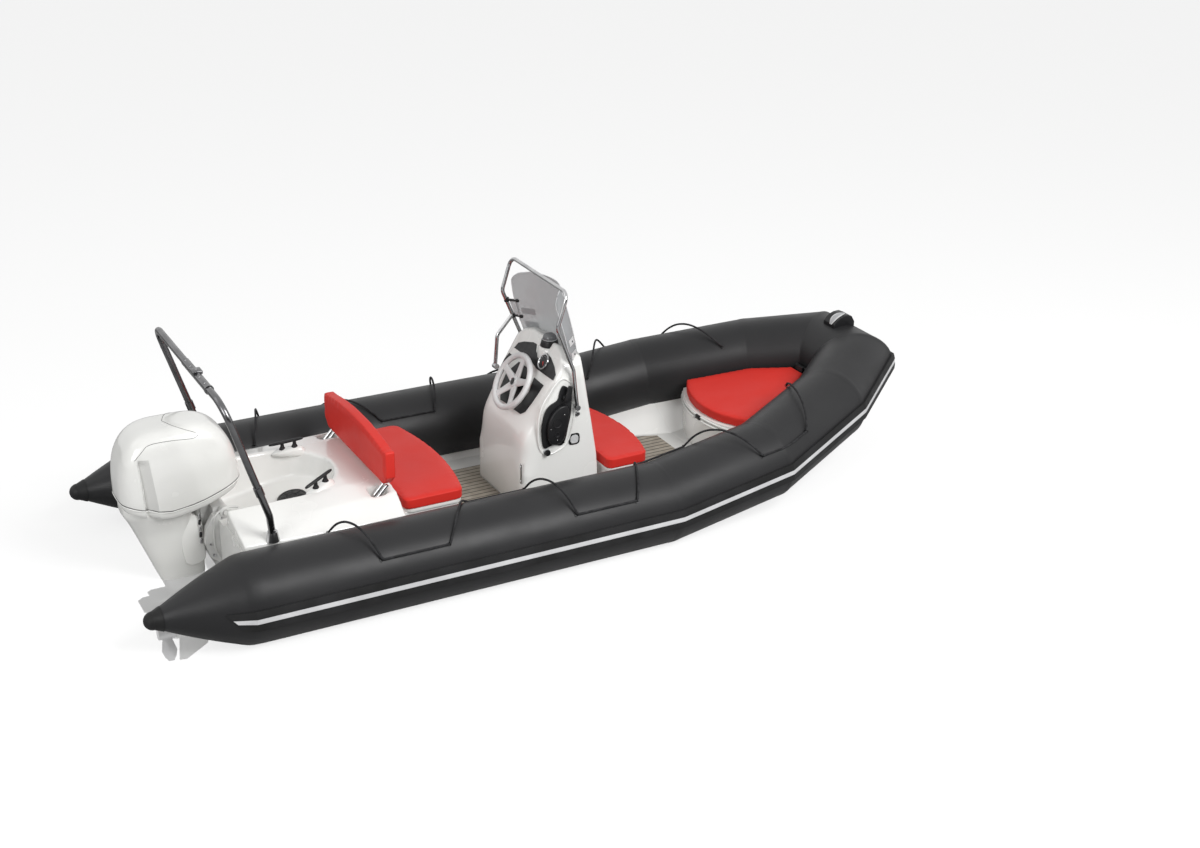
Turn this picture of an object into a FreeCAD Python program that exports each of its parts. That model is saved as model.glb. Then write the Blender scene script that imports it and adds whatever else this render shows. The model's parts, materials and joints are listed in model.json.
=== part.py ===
"""A rigid inflatable boat with its outboard engine, afloat at its normal waterline.

Millimetres, +X towards the bow, +Y to port, +Z up.  The origin is on the centreline, at the
transom's outer face and at the level of the still water.
"""
import FreeCAD
import Part
import math
import os

V = FreeCAD.Vector

# ---------------------------------------------------------------- driving dimensions
SEAT = 0.3                      # gap left between pieces that seat on each other
BEYOND = 6000.0                 # size of a cutting block that reaches past the whole boat

# inflated collar
TUBE_R = 265.0
TUBE_Y = 885.0                  # centreline of the parallel length, from the boat's centreline
TUBE_Z = 245.0                  # and its height above the water
CONE_START_X = -102.0
CONE_LENGTH = 505.0
CONE_TIP_R = 46.0
CAP_SKIRT = 46.0                # length of the rubber cap over the cone's tip
CAP_WALL = 7.0
# knuckles of the collar: x, y, height above the parallel length
KNUCKLES = [(2638.0, 885.0, 0.0), (3461.0, 812.0, 98.0), (4204.0, 512.0, 238.0), (4623.0, 201.0, 326.0)]
STRAKE_W = 118.0                # rubbing strake: height, thickness, stripe
STRAKE_T = 15.0
STRAKE_LIP = 9.0
STRAKE_TAIL = 165.0             # how far the strake runs on over the cone, and the slant of its end
STRAKE_SLANT = 110.0
STRIPE_W = 30.0
STRIPE_T = 4.0

# hull
TRANSOM_T = 50.0
TRANSOM_TOP = 385.0             # top of the transom where the engine clamps on
NOTCH_Y = 235.0                 # half width of that low part
KEEL_W = 34.0
SOLE_Z = 65.0                   # cockpit floor
SPRAY_RAILS = (0.42, 0.74)      # outer edge of each spray rail, as a share from keel to chine
RAIL_SHARE = 0.06               # and its width
# stations of the hull: x, keel height, chine y, chine z, gunwale y, gunwale z, sole half width, sole z
STATIONS = [
    (TRANSOM_T, -190.0, 700.0, 38.0, 672.0, 84.0, 640.0, SOLE_Z),
    (2638.0, -176.0, 700.0, 40.0, 672.0, 90.0, 600.0, SOLE_Z),
    (3461.0, -90.0, 616.0, 140.0, 590.0, 205.0, 330.0, SOLE_Z),
    (4204.0, 110.0, 360.0, 300.0, 330.0, 372.0, 170.0, 300.0),
    (4640.0, 352.0, 40.0, 430.0, 34.0, 452.0, 20.0, 440.0),
]
PLANK_Y = 450.0                 # planked mat on the sole
PLANK_T = 6.0
MAT_GAP = 12.0

# aft deck and its engine well
DECK_FRONT_X = 1000.0
DECK_EDGE_Y = 655.0
# deck across: y, height at the transom, height at the front edge
DECK_CROWN = [(DECK_EDGE_Y, 442.0, 404.0), (500.0, 486.0, 512.0), (330.0, 540.0, 532.0), (0.0, 560.0, 537.0)]
WELL_AFT_Z = 265.0               # floor of the well at the transom
WELL_FORE_Z = 350.0             # and at the deck hatch
WELL_X = 430.0                  # centre of the well's round end
WELL_R = 268.0
WELL_TOP_R = 352.0
WELL_TOP = 600.0
HATCH_R = 92.0
HATCH_T = 14.0
HATCH_X = 505.0

# seats
CUSHION_T = 72.0
BENCH_AFT_X = 1028.0
BENCH_CORNER_X = 1425.0
BENCH_BOW = 78.0                # how far the middle of the bench's front stands out
BENCH_Y = 548.0
BENCH_TOP = 455.0
SEAT_INSET = 26.0               # moulded base inside the cushion's edge
LID_T = 18.0
SEAT_HINGE_R = 6.0
SEAT_HINGE_Y = 45.0             # half width of the lid's own length of barrel
BACK_X = 922.0
BACK_T = 70.0
BACK_Y = 532.0
BACK_LOW = 548.0
BACK_SHOULDER = 785.0
BACK_TOP = 842.0
BACK_CUT = 62.0
BRACKET_Y = 440.0
BRACKET_R = 11.0
BRACKET_GAP = 46.0
POCKET_Y = 52.0                 # pocket in the deck for a backrest bracket: half width and floor
POCKET_Z = 440.0

# console
DASH_X = 2090.0                 # the sloping dash passes through this x at DASH_Z
CONSOLE_Y = 350.0
CONSOLE_AFT_X = DASH_X - 165.0
DASH_Z = 850.0
DASH_SLOPE = 0.6                # run of the dash per unit of height
CONSOLE_TOP_Z = 1130.0
CONSOLE_FRONT_X = DASH_X + 400.0
CONSOLE_BROW_X = DASH_X + 335.0
CONSOLE_BROW_Z = 1046.0
CONSOLE_CORNER_R = 62.0
# facets that round the console's top into its sides: half width and height
CROWN = [(CONSOLE_Y + 1, 965.0), (CONSOLE_Y - 24, 1045.0), (CONSOLE_Y - 92, 1102.0),
         (CONSOLE_Y - 200, CONSOLE_TOP_Z + 1)]
# the nose facet beside the flat front: its inner edge at the brow, its outer edge at the brow and low down
NOSE_FACET = [(CONSOLE_BROW_X, 150.0, CONSOLE_BROW_Z), (CONSOLE_BROW_X - 80, CONSOLE_Y, CONSOLE_BROW_Z),
              (CONSOLE_FRONT_X - 14, CONSOLE_Y, 320.0)]
PANEL_T = 4.0
WHEEL_R = 198.0
WHEEL_RIM_R = 18.0
WHEEL_HUB_R = 30.0
WHEEL_DROP = 28.0               # hub's centre below the dash's own centre, along the slope
WHEEL_STEM = 30.0               # top of the hub above the dash
WHEEL_SPOKES = 5
GAUGE_R = 54.0
COMPASS_R = 50.0
COMPASS_AT = (DASH_X + 172, -50.0, 1084.0)
POD_R = 58.0                    # round pod under the compass
POD_H = 90.0
RAIL_R = 12.5
SCREEN_T = 5.0
# windscreen's foot and top: height, x and half width of its ends, x of its middle
SCREEN = [(1040.0, DASH_X + 186, 326.0, DASH_X + 352), (1506.0, DASH_X + 64, 290.0, DASH_X + 232)]
SCREEN_CORNER_R = 70.0

# seat in front of the console
FORE_SEAT_AFT_X = CONSOLE_FRONT_X + 10
FORE_SEAT_CORNER_X = FORE_SEAT_AFT_X + 300
FORE_SEAT_BOW = 85.0
FORE_SEAT_Y = 440.0
FORE_SEAT_TOP = 372.0

# bow locker
LOCKER_AFT_X = 3470.0
LOCKER_CORNER_X = 3600.0
LOCKER_CORNER_Y = 425.0
LOCKER_WAIST_X = 4060.0
LOCKER_WAIST_Y = 280.0
HINGE_X = KNUCKLES[-1][0] - TUBE_R - 28     # the lid's hinge pin stands clear of the bow tube
HINGE_Z = 548.0
LOCKER_FRONT_X = HINGE_X - 12
LOCKER_FRONT_Y = 72.0
LOCKER_Z = 338.0                # top of the lid at its aft edge
LOCKER_RISE = 0.150             # slope of the lid
LEDGE_DROP = 26.0               # moulded ledge under the hinge: below the lid's underside, and its depth
LEDGE_DEPTH = 60.0
HINGE_LEAF = 7.0
HINGE_PIN_R = 4.0
HINGE_EYE_R = 9.0

# roll bar
BAR_R = 21.0
BAR_FOOT = (172.0, 640.0)
BAR_KNEE = (150.0, 676.0, 620.0)
BAR_ELBOW = (-76.0, 688.0, 1356.0)
BAR_BEND = 130.0

# outboard engine
TILT_X = 40.0
TILT_Z = 432.0
STEER_X = -78.0
COWL_TOP = 1022.0
PLATE_Z = -160.0                # anti-ventilation plate
SHAFT_Z = -385.0
TORPEDO_R = 52.0
PROP_R = 175.0
PROP_X = -345.0
BRACKET_Y_OUT = 150.0
BRACKET_Y_IN = 112.0


# ---------------------------------------------------------------- helpers
def box(x0, x1, y0, y1, z0, z1):
    return Part.makeBox(x1 - x0, y1 - y0, z1 - z0, V(x0, y0, z0))


def rod(a, b, r):
    a, b = V(*a), V(*b)
    return Part.makeCylinder(r, (b - a).Length, a, b - a)


def polygon(points):
    pts = [V(*p) for p in points]
    return Part.Wire(Part.makePolygon(pts + [pts[0]]))


def slab(outline, z0, z1):
    """A flat plate from an outline of (x, y) points."""
    return Part.Face(polygon([(x, y, z0) for x, y in outline])).extrude(V(0, 0, z1 - z0))


def side_plate(outline, y0, y1):
    """A flat plate from an outline of (x, z) points."""
    return Part.Face(polygon([(x, y0, z) for x, z in outline])).extrude(V(0, y1 - y0, 0))


def loft(sections):
    return Part.makeLoft([polygon(s) for s in sections], True, True)


def mirrored(shape):
    return shape.mirror(V(0, 0, 0), V(0, 1, 0))


def both_sides(shape):
    return Part.Compound([shape, mirrored(shape)])


def bent_tube(points, r, bend):
    """A round tube along straight runs joined by tangent arcs of one bend radius."""
    pts = [V(*p) for p in points]
    edges = []
    start = pts[0]
    for before, corner, after in zip(pts, pts[1:], pts[2:]):
        u = (corner - before).normalize()
        w = (after - corner).normalize()
        half = u.getAngle(w) / 2
        reach = bend * math.tan(half)
        a, b = corner - u * reach, corner + w * reach
        middle = corner + (w - u).normalize() * (bend / math.cos(half) - bend)
        edges += [Part.LineSegment(start, a).toShape(), Part.Arc(a, middle, b).toShape()]
        start = b
    edges.append(Part.LineSegment(start, pts[-1]).toShape())
    path = Part.Wire(edges)
    ring = Part.Wire(Part.Circle(pts[0], pts[1] - pts[0], r).toShape())
    return path.makePipeShell([ring], True, True)


def save(name, shape):
    shape = shape.removeSplitter() if shape.ShapeType != "Compound" else shape
    solids = shape.Solids
    good = all(s.isValid() for s in solids) and all(s.Volume > 0 for s in solids)
    shape = solids[0] if len(solids) == 1 else Part.Compound(solids)
    shape.exportStep("parts/%s.step" % name)
    print("%-26s %2d solids %10.0f cm3 %s" % (name, len(solids), shape.Volume / 1000, "" if good else "BAD"))


os.makedirs("parts", exist_ok=True)

# ---------------------------------------------------------------- collar
COLLAR = [(CONE_START_X, TUBE_Y, TUBE_Z)] + [(x, y, TUBE_Z + z) for x, y, z in KNUCKLES]
COLLAR.append((COLLAR[-1][0], 0.0, COLLAR[-1][2]))


def along_collar(profile):
    """Sweeps a closed profile, drawn at the collar's aft end, round the knuckles with mitred corners."""
    path = Part.Wire(Part.makePolygon([V(*p) for p in COLLAR]))
    return path.makePipeShell([profile], True, False, 1)


def ahead_of(index):
    """A block that fills everything ahead of a knuckle's mitre plane."""
    before, here, after = [V(*COLLAR[index + i]) for i in (-1, 0, 1)]
    normal = (here - before).normalize() + (after - here).normalize()
    return Part.makeCylinder(BEYOND / 2, BEYOND, here, normal)


def band(r0, r1, half):
    """A strip of ring section on the collar's outer side, from radius r0 to r1 and half wide each way."""
    centre = V(*COLLAR[0])

    def at(r, angle):
        return centre + V(0, r * math.cos(angle), r * math.sin(angle))

    a = math.asin(half / TUBE_R)
    outer = Part.Arc(at(r1, -a), at(r1, 0), at(r1, a)).toShape()
    inner = Part.Arc(at(r0, a), at(r0, 0), at(r0, -a)).toShape()
    ends = ((at(r1, a), at(r0, a)), (at(r0, -a), at(r1, -a)))
    sides = [Part.LineSegment(p, q).toShape() for p, q in ends]
    return Part.Wire([outer, sides[0], inner, sides[1]])


def whole_loop(half):
    """The port half and its mirror image, joined at the stem."""
    return half.fuse(mirrored(half)).removeSplitter()


def collar_tube(extra):
    """The collar's port side as a round bar, extra larger in radius, to cut seats with."""
    ring = Part.Wire(Part.Circle(V(*COLLAR[0]), V(1, 0, 0), TUBE_R + extra).toShape())
    bar = along_collar(ring)
    stern = Part.makeCylinder(TUBE_R + extra, CONE_LENGTH, CONE_TIP, V(1, 0, 0))
    return bar.fuse(stern)


CONE_TIP = V(CONE_START_X - CONE_LENGTH, TUBE_Y, TUBE_Z)
collar = along_collar(Part.Wire(Part.Circle(V(*COLLAR[0]), V(1, 0, 0), TUBE_R).toShape()))
cone = Part.makeCone(CONE_TIP_R, TUBE_R, CONE_LENGTH, CONE_TIP, V(1, 0, 0))
bow_part = collar.common(ahead_of(1))
nose_half = bow_part.common(ahead_of(len(KNUCKLES)))
tube_stern = collar.cut(ahead_of(1)).fuse(cone)
tube_bow = bow_part.cut(ahead_of(len(KNUCKLES)))
for side, turn in (("port", lambda s: s), ("starboard", mirrored)):
    save("tube_stern_%s" % side, turn(tube_stern))
    save("tube_bow_%s" % side, turn(tube_bow))
save("tube_nose", whole_loop(nose_half))

cap = Part.makeSphere(CONE_TIP_R + CAP_WALL, CONE_TIP, V(-1, 0, 0), 0, 90)
skirt_r = CONE_TIP_R + (TUBE_R - CONE_TIP_R) * CAP_SKIRT / CONE_LENGTH
skirt, room = [Part.makeCone(CONE_TIP_R + wall, skirt_r + wall, CAP_SKIRT, CONE_TIP, V(1, 0, 0))
               for wall in (CAP_WALL, SEAT)]
save("cone_caps", both_sides(cap.fuse(skirt).cut(room).removeSplitter()))


def cone_band(r0, r1, half):
    """The same strip carried on over the cone, ending in a slanted cut."""
    x, length = CONE_START_X - STRAKE_TAIL, STRAKE_TAIL
    narrowed = (TUBE_R - CONE_TIP_R) * length / CONE_LENGTH
    outer = Part.makeCone(r1 - narrowed, r1, length, V(x, TUBE_Y, TUBE_Z), V(1, 0, 0))
    inner = Part.makeCone(r0 - narrowed, r0, length, V(x, TUBE_Y, TUBE_Z), V(1, 0, 0))
    spread = 2 * TUBE_R * math.tan(math.asin(half / TUBE_R))
    sector = [(x - 1, TUBE_Y, TUBE_Z), (x - 1, TUBE_Y + 2 * TUBE_R, TUBE_Z - spread),
              (x - 1, TUBE_Y + 2 * TUBE_R, TUBE_Z + spread)]
    sector = Part.Face(polygon(sector)).extrude(V(length + 1, 0, 0))
    high, low = TUBE_Z + STRAKE_W / 2, TUBE_Z - STRAKE_W / 2
    slant = [(x, high), (x + STRAKE_SLANT, low), (x + STRAKE_SLANT, low - TUBE_R)]
    slant += [(x - 1, low - TUBE_R), (x - 1, high)]
    slant = side_plate(slant, 0, 2 * TUBE_Y)
    return outer.cut(inner).common(sector).cut(slant)


def full_band(r0, r1, half):
    return along_collar(band(r0, r1, half)).fuse(cone_band(r0, r1, half))


strake = full_band(TUBE_R + SEAT, TUBE_R + STRAKE_T, STRAKE_W / 2)
groove = full_band(TUBE_R + STRAKE_LIP, TUBE_R + STRAKE_T + 1, STRIPE_W / 2)
stripe = full_band(TUBE_R + STRAKE_LIP, TUBE_R + STRAKE_LIP + STRIPE_T, STRIPE_W / 2)
save("rub_strake", whole_loop(strake.cut(groove)))
save("strake_stripe", whole_loop(stripe))

seat_cutter = both_sides(collar_tube(SEAT))

# ---------------------------------------------------------------- hull and transom
def hull_section(x, keel_z, chine_y, chine_z, gun_y, gun_z, sole_y, sole_z):
    half = [(KEEL_W / 2, keel_z), (chine_y, chine_z), (gun_y, gun_z), (sole_y, sole_z)]
    return [(x, y, z) for y, z in half] + [(x, -y, z) for y, z in reversed(half)]


def on_bottom(row, share):
    """A point on the hull's bottom, at a share of the way from keel to chine."""
    x, keel_z, chine_y, chine_z = row[:4]
    return V(x, KEEL_W / 2 + (chine_y - KEEL_W / 2) * share, keel_z + (chine_z - keel_z) * share)


def spray_rail(share):
    """A strip of three-sided section that throws the spray outwards, along the hull's bottom."""
    sections = []
    for row in STATIONS[:3]:
        outer, inner = on_bottom(row, share), on_bottom(row, share - RAIL_SHARE)
        lip = (outer.x, outer.y, inner.z + 2)
        sections.append([tuple(inner + V(0, 0, 2)), lip, tuple(outer + V(0, 0, 4))])
    return loft(sections)


hull = loft([hull_section(*row) for row in STATIONS])
for share in SPRAY_RAILS:
    rail_pair = spray_rail(share)
    hull = hull.fuse(rail_pair).fuse(mirrored(rail_pair))
hull = hull.cut(seat_cutter)
save("hull", hull)

aft_keel, chine_y, chine_z = STATIONS[0][1:4]
transom_half = [(KEEL_W / 2, aft_keel), (chine_y, chine_z), (DECK_EDGE_Y, 380.0),
                (NOTCH_Y + 70, TRANSOM_TOP + 40), (NOTCH_Y, TRANSOM_TOP)]
outline = [(0, y, z) for y, z in transom_half] + [(0, -y, z) for y, z in reversed(transom_half)]
transom = Part.Face(polygon(outline)).extrude(V(TRANSOM_T - SEAT, 0, 0)).cut(seat_cutter)
save("transom", transom)

# ---------------------------------------------------------------- cockpit floor
bench_front_x = BENCH_CORNER_X + BENCH_BOW
mat_half = [(bench_front_x + MAT_GAP, PLANK_Y), (3000, PLANK_Y), (3340, 330)]
mat_outline = mat_half + [(x, -y) for x, y in reversed(mat_half)]
mat = slab(mat_outline, SOLE_Z + SEAT, SOLE_Z + PLANK_T)

# ---------------------------------------------------------------- aft deck with the engine well
def deck_section(x, column):
    half = [(DECK_EDGE_Y - 30, SOLE_Z)] + [(row[0], row[column]) for row in DECK_CROWN]
    return [(x, y, z) for y, z in half] + [(x, -y, z) for y, z in reversed(half[:-1])]


deck = loft([deck_section(0, 1), deck_section(DECK_FRONT_X, 2)])
well_round = Part.makeCone(WELL_R, WELL_TOP_R, WELL_TOP - WELL_AFT_Z, V(WELL_X, 0, WELL_AFT_Z), V(0, 0, 1))
well_end = [(-1, -WELL_R, WELL_AFT_Z), (-1, WELL_R, WELL_AFT_Z), (-1, WELL_TOP_R, WELL_TOP),
            (-1, -WELL_TOP_R, WELL_TOP)]
well = Part.Face(polygon(well_end)).extrude(V(WELL_X + 1, 0, 0)).fuse(well_round)
rise = (WELL_FORE_Z - WELL_AFT_Z) / (HATCH_X - TRANSOM_T)
well_far = WELL_X + WELL_TOP_R
well_floor = [(x, WELL_AFT_Z + rise * (x - TRANSOM_T)) for x in (-2, well_far)] + [(well_far, 0), (-2, 0)]
well_floor = side_plate(well_floor, -WELL_TOP_R, WELL_TOP_R)
well = well.cut(well_floor)
transom_block = Part.Face(polygon(outline)).extrude(V(TRANSOM_T, 0, 0))
pocket = box(BACK_X - 78, BACK_X + 30, BRACKET_Y - POCKET_Y, BRACKET_Y + POCKET_Y, POCKET_Z, WELL_TOP)
deck = deck.cut(well).cut(seat_cutter).cut(transom_block).cut(both_sides(pocket)).cut(hull)
save("aft_deck", deck)

hatch_z = WELL_FORE_Z + SEAT
slope = math.degrees(math.atan(rise))
hatch = Part.makeCylinder(HATCH_R, HATCH_T, V(HATCH_X, 0, hatch_z))
rim = [e for e in hatch.Edges if e.CenterOfMass.z > hatch_z + HATCH_T / 2 and e.Length > HATCH_R]
hatch = hatch.makeFillet(HATCH_T * 0.4, rim)
hatch.rotate(V(HATCH_X, 0, hatch_z), V(0, 1, 0), -slope)
save("well_hatch", hatch)

# horn cleats: x, y and z of the aft and the forward horn's tip
CLEATS = [(482.0, 338.0, 572.0), (680.0, 255.0, 620.0)]
CLEAT_R = 10.0
CLEAT_FOOT = 90.0
aft_tip, fore_tip = [V(*p) for p in CLEATS]
bar = Part.makeCylinder(CLEAT_R, (fore_tip - aft_tip).Length, aft_tip, fore_tip - aft_tip)
for share in (0.39, 0.75):
    foot = aft_tip + (fore_tip - aft_tip) * share
    bar = bar.fuse(Part.makeCone(2 * CLEAT_R, CLEAT_R, CLEAT_FOOT, foot - V(0, 0, CLEAT_FOOT)))
bar = max(bar.cut(deck).Solids, key=lambda s: s.CenterOfMass.z)
save("cleats", both_sides(bar))

# ---------------------------------------------------------------- seats
def bowed(aft_x, corner_x, bow, half_y, inset, corner_r, z0, z1):
    """A seat plate with a straight aft edge and a front edge that bows forward, inset all round."""
    a, c, y = aft_x + inset, corner_x - inset, half_y - inset
    front = Part.Arc(V(c, y, z0), V(c + bow, 0, z0), V(c, -y, z0)).toShape()
    corners = [V(c, -y, z0), V(a, -y, z0), V(a, y, z0), V(c, y, z0)]
    sides = [Part.LineSegment(p, q).toShape() for p, q in zip(corners, corners[1:])]
    plate = Part.Face(Part.Wire([front] + sides)).extrude(V(0, 0, z1 - z0))
    upright = [e for e in plate.Edges if abs(e.tangentAt(e.FirstParameter).z) > 0.99]
    return plate.makeFillet(corner_r, upright)


def hinge_barrel(x, y0, y1, z, leaf_x, leaf_z):
    """A length of hinge barrel with the leaf that joins it to the piece behind it."""
    barrel = rod((x, y0, z), (x, y1, z), SEAT_HINGE_R)
    return barrel.fuse(box(leaf_x, x, y0, y1, *leaf_z))


def seat(name, aft_x, corner_x, bow, half_y, top, base_aft_x):
    """A moulded base, its lid hinged at the middle of the front edge, and the cushion on the lid."""
    lid_top = top - CUSHION_T
    shape = (corner_x, bow, half_y)
    base = bowed(base_aft_x, *shape, SEAT_INSET, 40, SOLE_Z, lid_top - LID_T - SEAT)
    pin_x, pin_z = corner_x + bow, lid_top - LID_T
    leaf_x = pin_x - 2 * SEAT_INSET
    for side in (1, -1):
        y0, y1 = sorted((side * (SEAT_HINGE_Y + 1), side * 2 * SEAT_HINGE_Y))
        base = base.fuse(hinge_barrel(pin_x, y0, y1, pin_z, leaf_x, (pin_z - 2 * SEAT_HINGE_R, pin_z - SEAT)))
    lid = bowed(aft_x, *shape, SEAT_INSET / 2, 45, lid_top - LID_T, lid_top)
    leaf = (pin_z, pin_z + SEAT_HINGE_R)
    lid = lid.fuse(hinge_barrel(pin_x, -SEAT_HINGE_Y, SEAT_HINGE_Y, pin_z, leaf_x, leaf))
    save(name + "_base", base)
    save(name + "_lid", lid)
    save(name + "_cushion", bowed(aft_x, *shape, 0, 55, lid_top + SEAT, top))
    return base


seat("bench", BENCH_AFT_X, BENCH_CORNER_X, BENCH_BOW, BENCH_Y, BENCH_TOP, DECK_FRONT_X + SEAT - SEAT_INSET)
fore_base = seat("fore_seat", FORE_SEAT_AFT_X, FORE_SEAT_CORNER_X, FORE_SEAT_BOW, FORE_SEAT_Y, FORE_SEAT_TOP,
                 FORE_SEAT_AFT_X)

back_half = [(0, BACK_LOW), (BACK_Y - BACK_CUT, BACK_LOW), (BACK_Y, BACK_LOW + BACK_CUT),
             (BACK_Y, BACK_SHOULDER)]
left = [V(BACK_X, y, z) for y, z in back_half]
right = [V(BACK_X, -y, z) for y, z in back_half[1:]]
edges = [Part.LineSegment(p, q).toShape() for p, q in zip(left, left[1:])]
edges.append(Part.Arc(left[-1], V(BACK_X, 0, BACK_TOP), right[-1]).toShape())
edges += [Part.LineSegment(p, q).toShape() for p, q in zip(reversed(right), list(reversed(right))[1:])]
edges.append(Part.LineSegment(right[0], left[0]).toShape())
backrest = Part.Face(Part.Wire(edges)).extrude(V(BACK_T, 0, 0))
save("backrest", backrest)

bracket_floor = POCKET_Z + SEAT + BRACKET_R
leg_x = BACK_X - 56
head = (BACK_X + BACK_T / 2, BACK_LOW - SEAT)
y_in, y_out = BRACKET_Y - BRACKET_GAP / 2, BRACKET_Y + BRACKET_GAP / 2
u_path = [(head[0], y_in, head[1]), (leg_x, y_in, bracket_floor), (leg_x, y_out, bracket_floor),
          (head[0], y_out, head[1])]
save("backrest_brackets", both_sides(bent_tube(u_path, BRACKET_R, 14).cut(backrest)))

# ---------------------------------------------------------------- console
def dash_x(z):
    return DASH_X + DASH_SLOPE * (z - DASH_Z)


knee_z = DASH_Z + (CONSOLE_AFT_X - DASH_X) / DASH_SLOPE
console_side = [(CONSOLE_AFT_X, SOLE_Z), (CONSOLE_AFT_X, knee_z), (dash_x(CONSOLE_TOP_Z), CONSOLE_TOP_Z),
                (CONSOLE_BROW_X, CONSOLE_BROW_Z), (CONSOLE_FRONT_X, SOLE_Z)]
console = side_plate(console_side, -CONSOLE_Y, CONSOLE_Y)
over = [(0, y, z) for y, z in CROWN] + [(0, y, 2 * CONSOLE_TOP_Z) for y in (CROWN[-1][0], CROWN[0][0])]
shoulder = Part.Face(polygon(over)).extrude(V(2 * CONSOLE_FRONT_X, 0, 0))
console = console.cut(both_sides(shoulder))
facet_inner, facet_outer, facet_low = [V(*p) for p in NOSE_FACET]
facet_normal = (facet_low - facet_inner).cross(facet_outer - facet_inner).normalize()
nose_cut = Part.makeCylinder(CONSOLE_FRONT_X, CONSOLE_FRONT_X, facet_inner, facet_normal)
console = console.cut(both_sides(nose_cut))
uprights = [e for e in console.Edges if abs(abs(e.CenterOfMass.y) - CONSOLE_Y) < 1 and e.BoundBox.ZLength > 90
            and e.CenterOfMass.x < DASH_X]
console = console.makeFillet(CONSOLE_CORNER_R, uprights)
pod = Part.makeCylinder(POD_R, POD_H, V(*COMPASS_AT) - V(0, 0, POD_H))
pod_room = Part.makeCylinder(POD_R, 2 * POD_H, V(*COMPASS_AT))
console = console.fuse(pod).cut(pod_room)
save("console", console)
save("sole_mat", mat.cut(console).cut(fore_base))

# the dash's own frame: x to starboard, y up the slope, z towards the driver
slope_length = math.hypot(DASH_SLOPE, 1)
up_x, up_z = DASH_SLOPE / slope_length, 1 / slope_length
DASH = FreeCAD.Matrix(0, up_x, -up_z, DASH_X, -1, 0, 0, 0, 0, up_z, up_x, DASH_Z, 0, 0, 0, 1)


def on_dash(shape):
    placed = shape.copy()
    placed.transformShape(DASH)
    return placed


def dash_plate(outline):
    return slab(outline, SEAT, PANEL_T)


# black panels of the dash: the arched one, two on the left, the one behind the wheel and one low on the right
PANELS = [
    [(-257, 144), (-238, 189), (-183, 218), (-80, 250), (-40, 252), (-10, 212), (28, 199), (77, 214),
     (112, 244), (176, 236), (262, 200), (312, 164), (318, 124), (232, 122), (90, 121), (-36, 148),
     (-140, 146)],
    [(-281, 97), (-212, 96), (-258, 38), (-272, -35), (-290, -52), (-300, 42)],
    [(-312, -104), (-272, -112), (-228, -174), (-272, -164), (-306, -132)],
    [(-128, 88), (-20, 90), (52, 60), (86, -56), (20, -180), (-112, -190), (-186, -118), (-200, -20)],
    [(115, 66), (250, 62), (242, 3), (226, -77), (205, -150), (168, -180), (76, -183), (117, -115),
     (138, -27)],
]
plates = [on_dash(dash_plate(p)) for p in PANELS]
save("dash_panels", Part.Compound(plates))

GAUGE_AT = (134.0, 186.0)       # on the dash
gauge = Part.makeCylinder(GAUGE_R, 12, V(*GAUGE_AT, PANEL_T + SEAT))
save("gauge", on_dash(gauge))

# steering wheel on its fixed hub
hub = V(0, -WHEEL_DROP, 0)
stem = Part.makeCylinder(WHEEL_HUB_R, WHEEL_STEM - PANEL_T - SEAT, hub + V(0, 0, PANEL_T + SEAT))
save("helm_hub", on_dash(stem))
RIM_RISE = 32.0                 # the rim's plane above the hub's top
SPOKE_R = 11.0
rim_r = WHEEL_R - WHEEL_RIM_R
wheel = Part.makeTorus(rim_r, WHEEL_RIM_R, hub + V(0, 0, WHEEL_STEM + RIM_RISE))
wheel = wheel.fuse(Part.makeCylinder(1.2 * WHEEL_HUB_R, WHEEL_HUB_R, hub + V(0, 0, WHEEL_STEM + 1)))
for i in range(WHEEL_SPOKES):
    turn = math.radians(90 + 360 * i / WHEEL_SPOKES)
    way = V(math.cos(turn), math.sin(turn), 0)
    tip = hub + way * rim_r + V(0, 0, WHEEL_STEM + RIM_RISE - 2)
    root = hub + way * 20 + V(0, 0, WHEEL_STEM + 14)
    wheel = wheel.fuse(Part.makeCylinder(SPOKE_R, (tip - root).Length, root, tip - root))
save("steering_wheel", on_dash(wheel))

# compass on the dash top
COMPASS_H = 42.0
compass = Part.makeCone(COMPASS_R, COMPASS_R - 6, COMPASS_H, V(*COMPASS_AT) + V(0, 0, SEAT))
compass = compass.fuse(Part.makeSphere(COMPASS_R - 10, V(*COMPASS_AT) + V(0, 0, COMPASS_H)))
save("compass", compass.cut(console))

# engine control, vent and lock on the starboard side of the console; in these tables x is from DASH_X
def from_dash(rows):
    return [(DASH_X + row[0],) + tuple(row[1:]) for row in rows]


BOX_PLATE = [(118, 926), (172, 880), (178, 804), (172, 716), (157, 646), (138, 558), (110, 514), (44, 526),
             (-7, 512), (-27, 537), (-38, 615), (-35, 685), (-14, 762), (19, 805), (75, 834), (92, 890)]
BOX_BODY = [(100, 800), (136, 786), (146, 716), (124, 600), (86, 545), (20, 548), (-4, 620), (6, 710),
            (50, 774)]
PLATE_T = 12.0
BODY_T = 44.0
LEVER = (126.0, 846.0)
LEVER_R = 24.0
LEVER_BOSS = 30.0
GRIP = [(106, 838), (116, 866), (136, 934), (160, 926), (150, 856), (136, 828)]
control_y = -CONSOLE_Y - SEAT
control = side_plate(from_dash(BOX_PLATE), control_y - PLATE_T, control_y)
save("control_box", control.fuse(side_plate(from_dash(BOX_BODY), control_y - BODY_T, control_y - PLATE_T)))
lever_y = control_y - PLATE_T - SEAT
lever_x, lever_z = DASH_X + LEVER[0], LEVER[1]
lever = rod((lever_x, lever_y, lever_z), (lever_x, lever_y - LEVER_BOSS, lever_z), LEVER_R)
lever = lever.fuse(side_plate(from_dash(GRIP), lever_y - BODY_T, lever_y - LEVER_R))
save("control_lever", lever)
VENT = (203.0, 536.0)
VENT_HALF = 40.0
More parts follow.
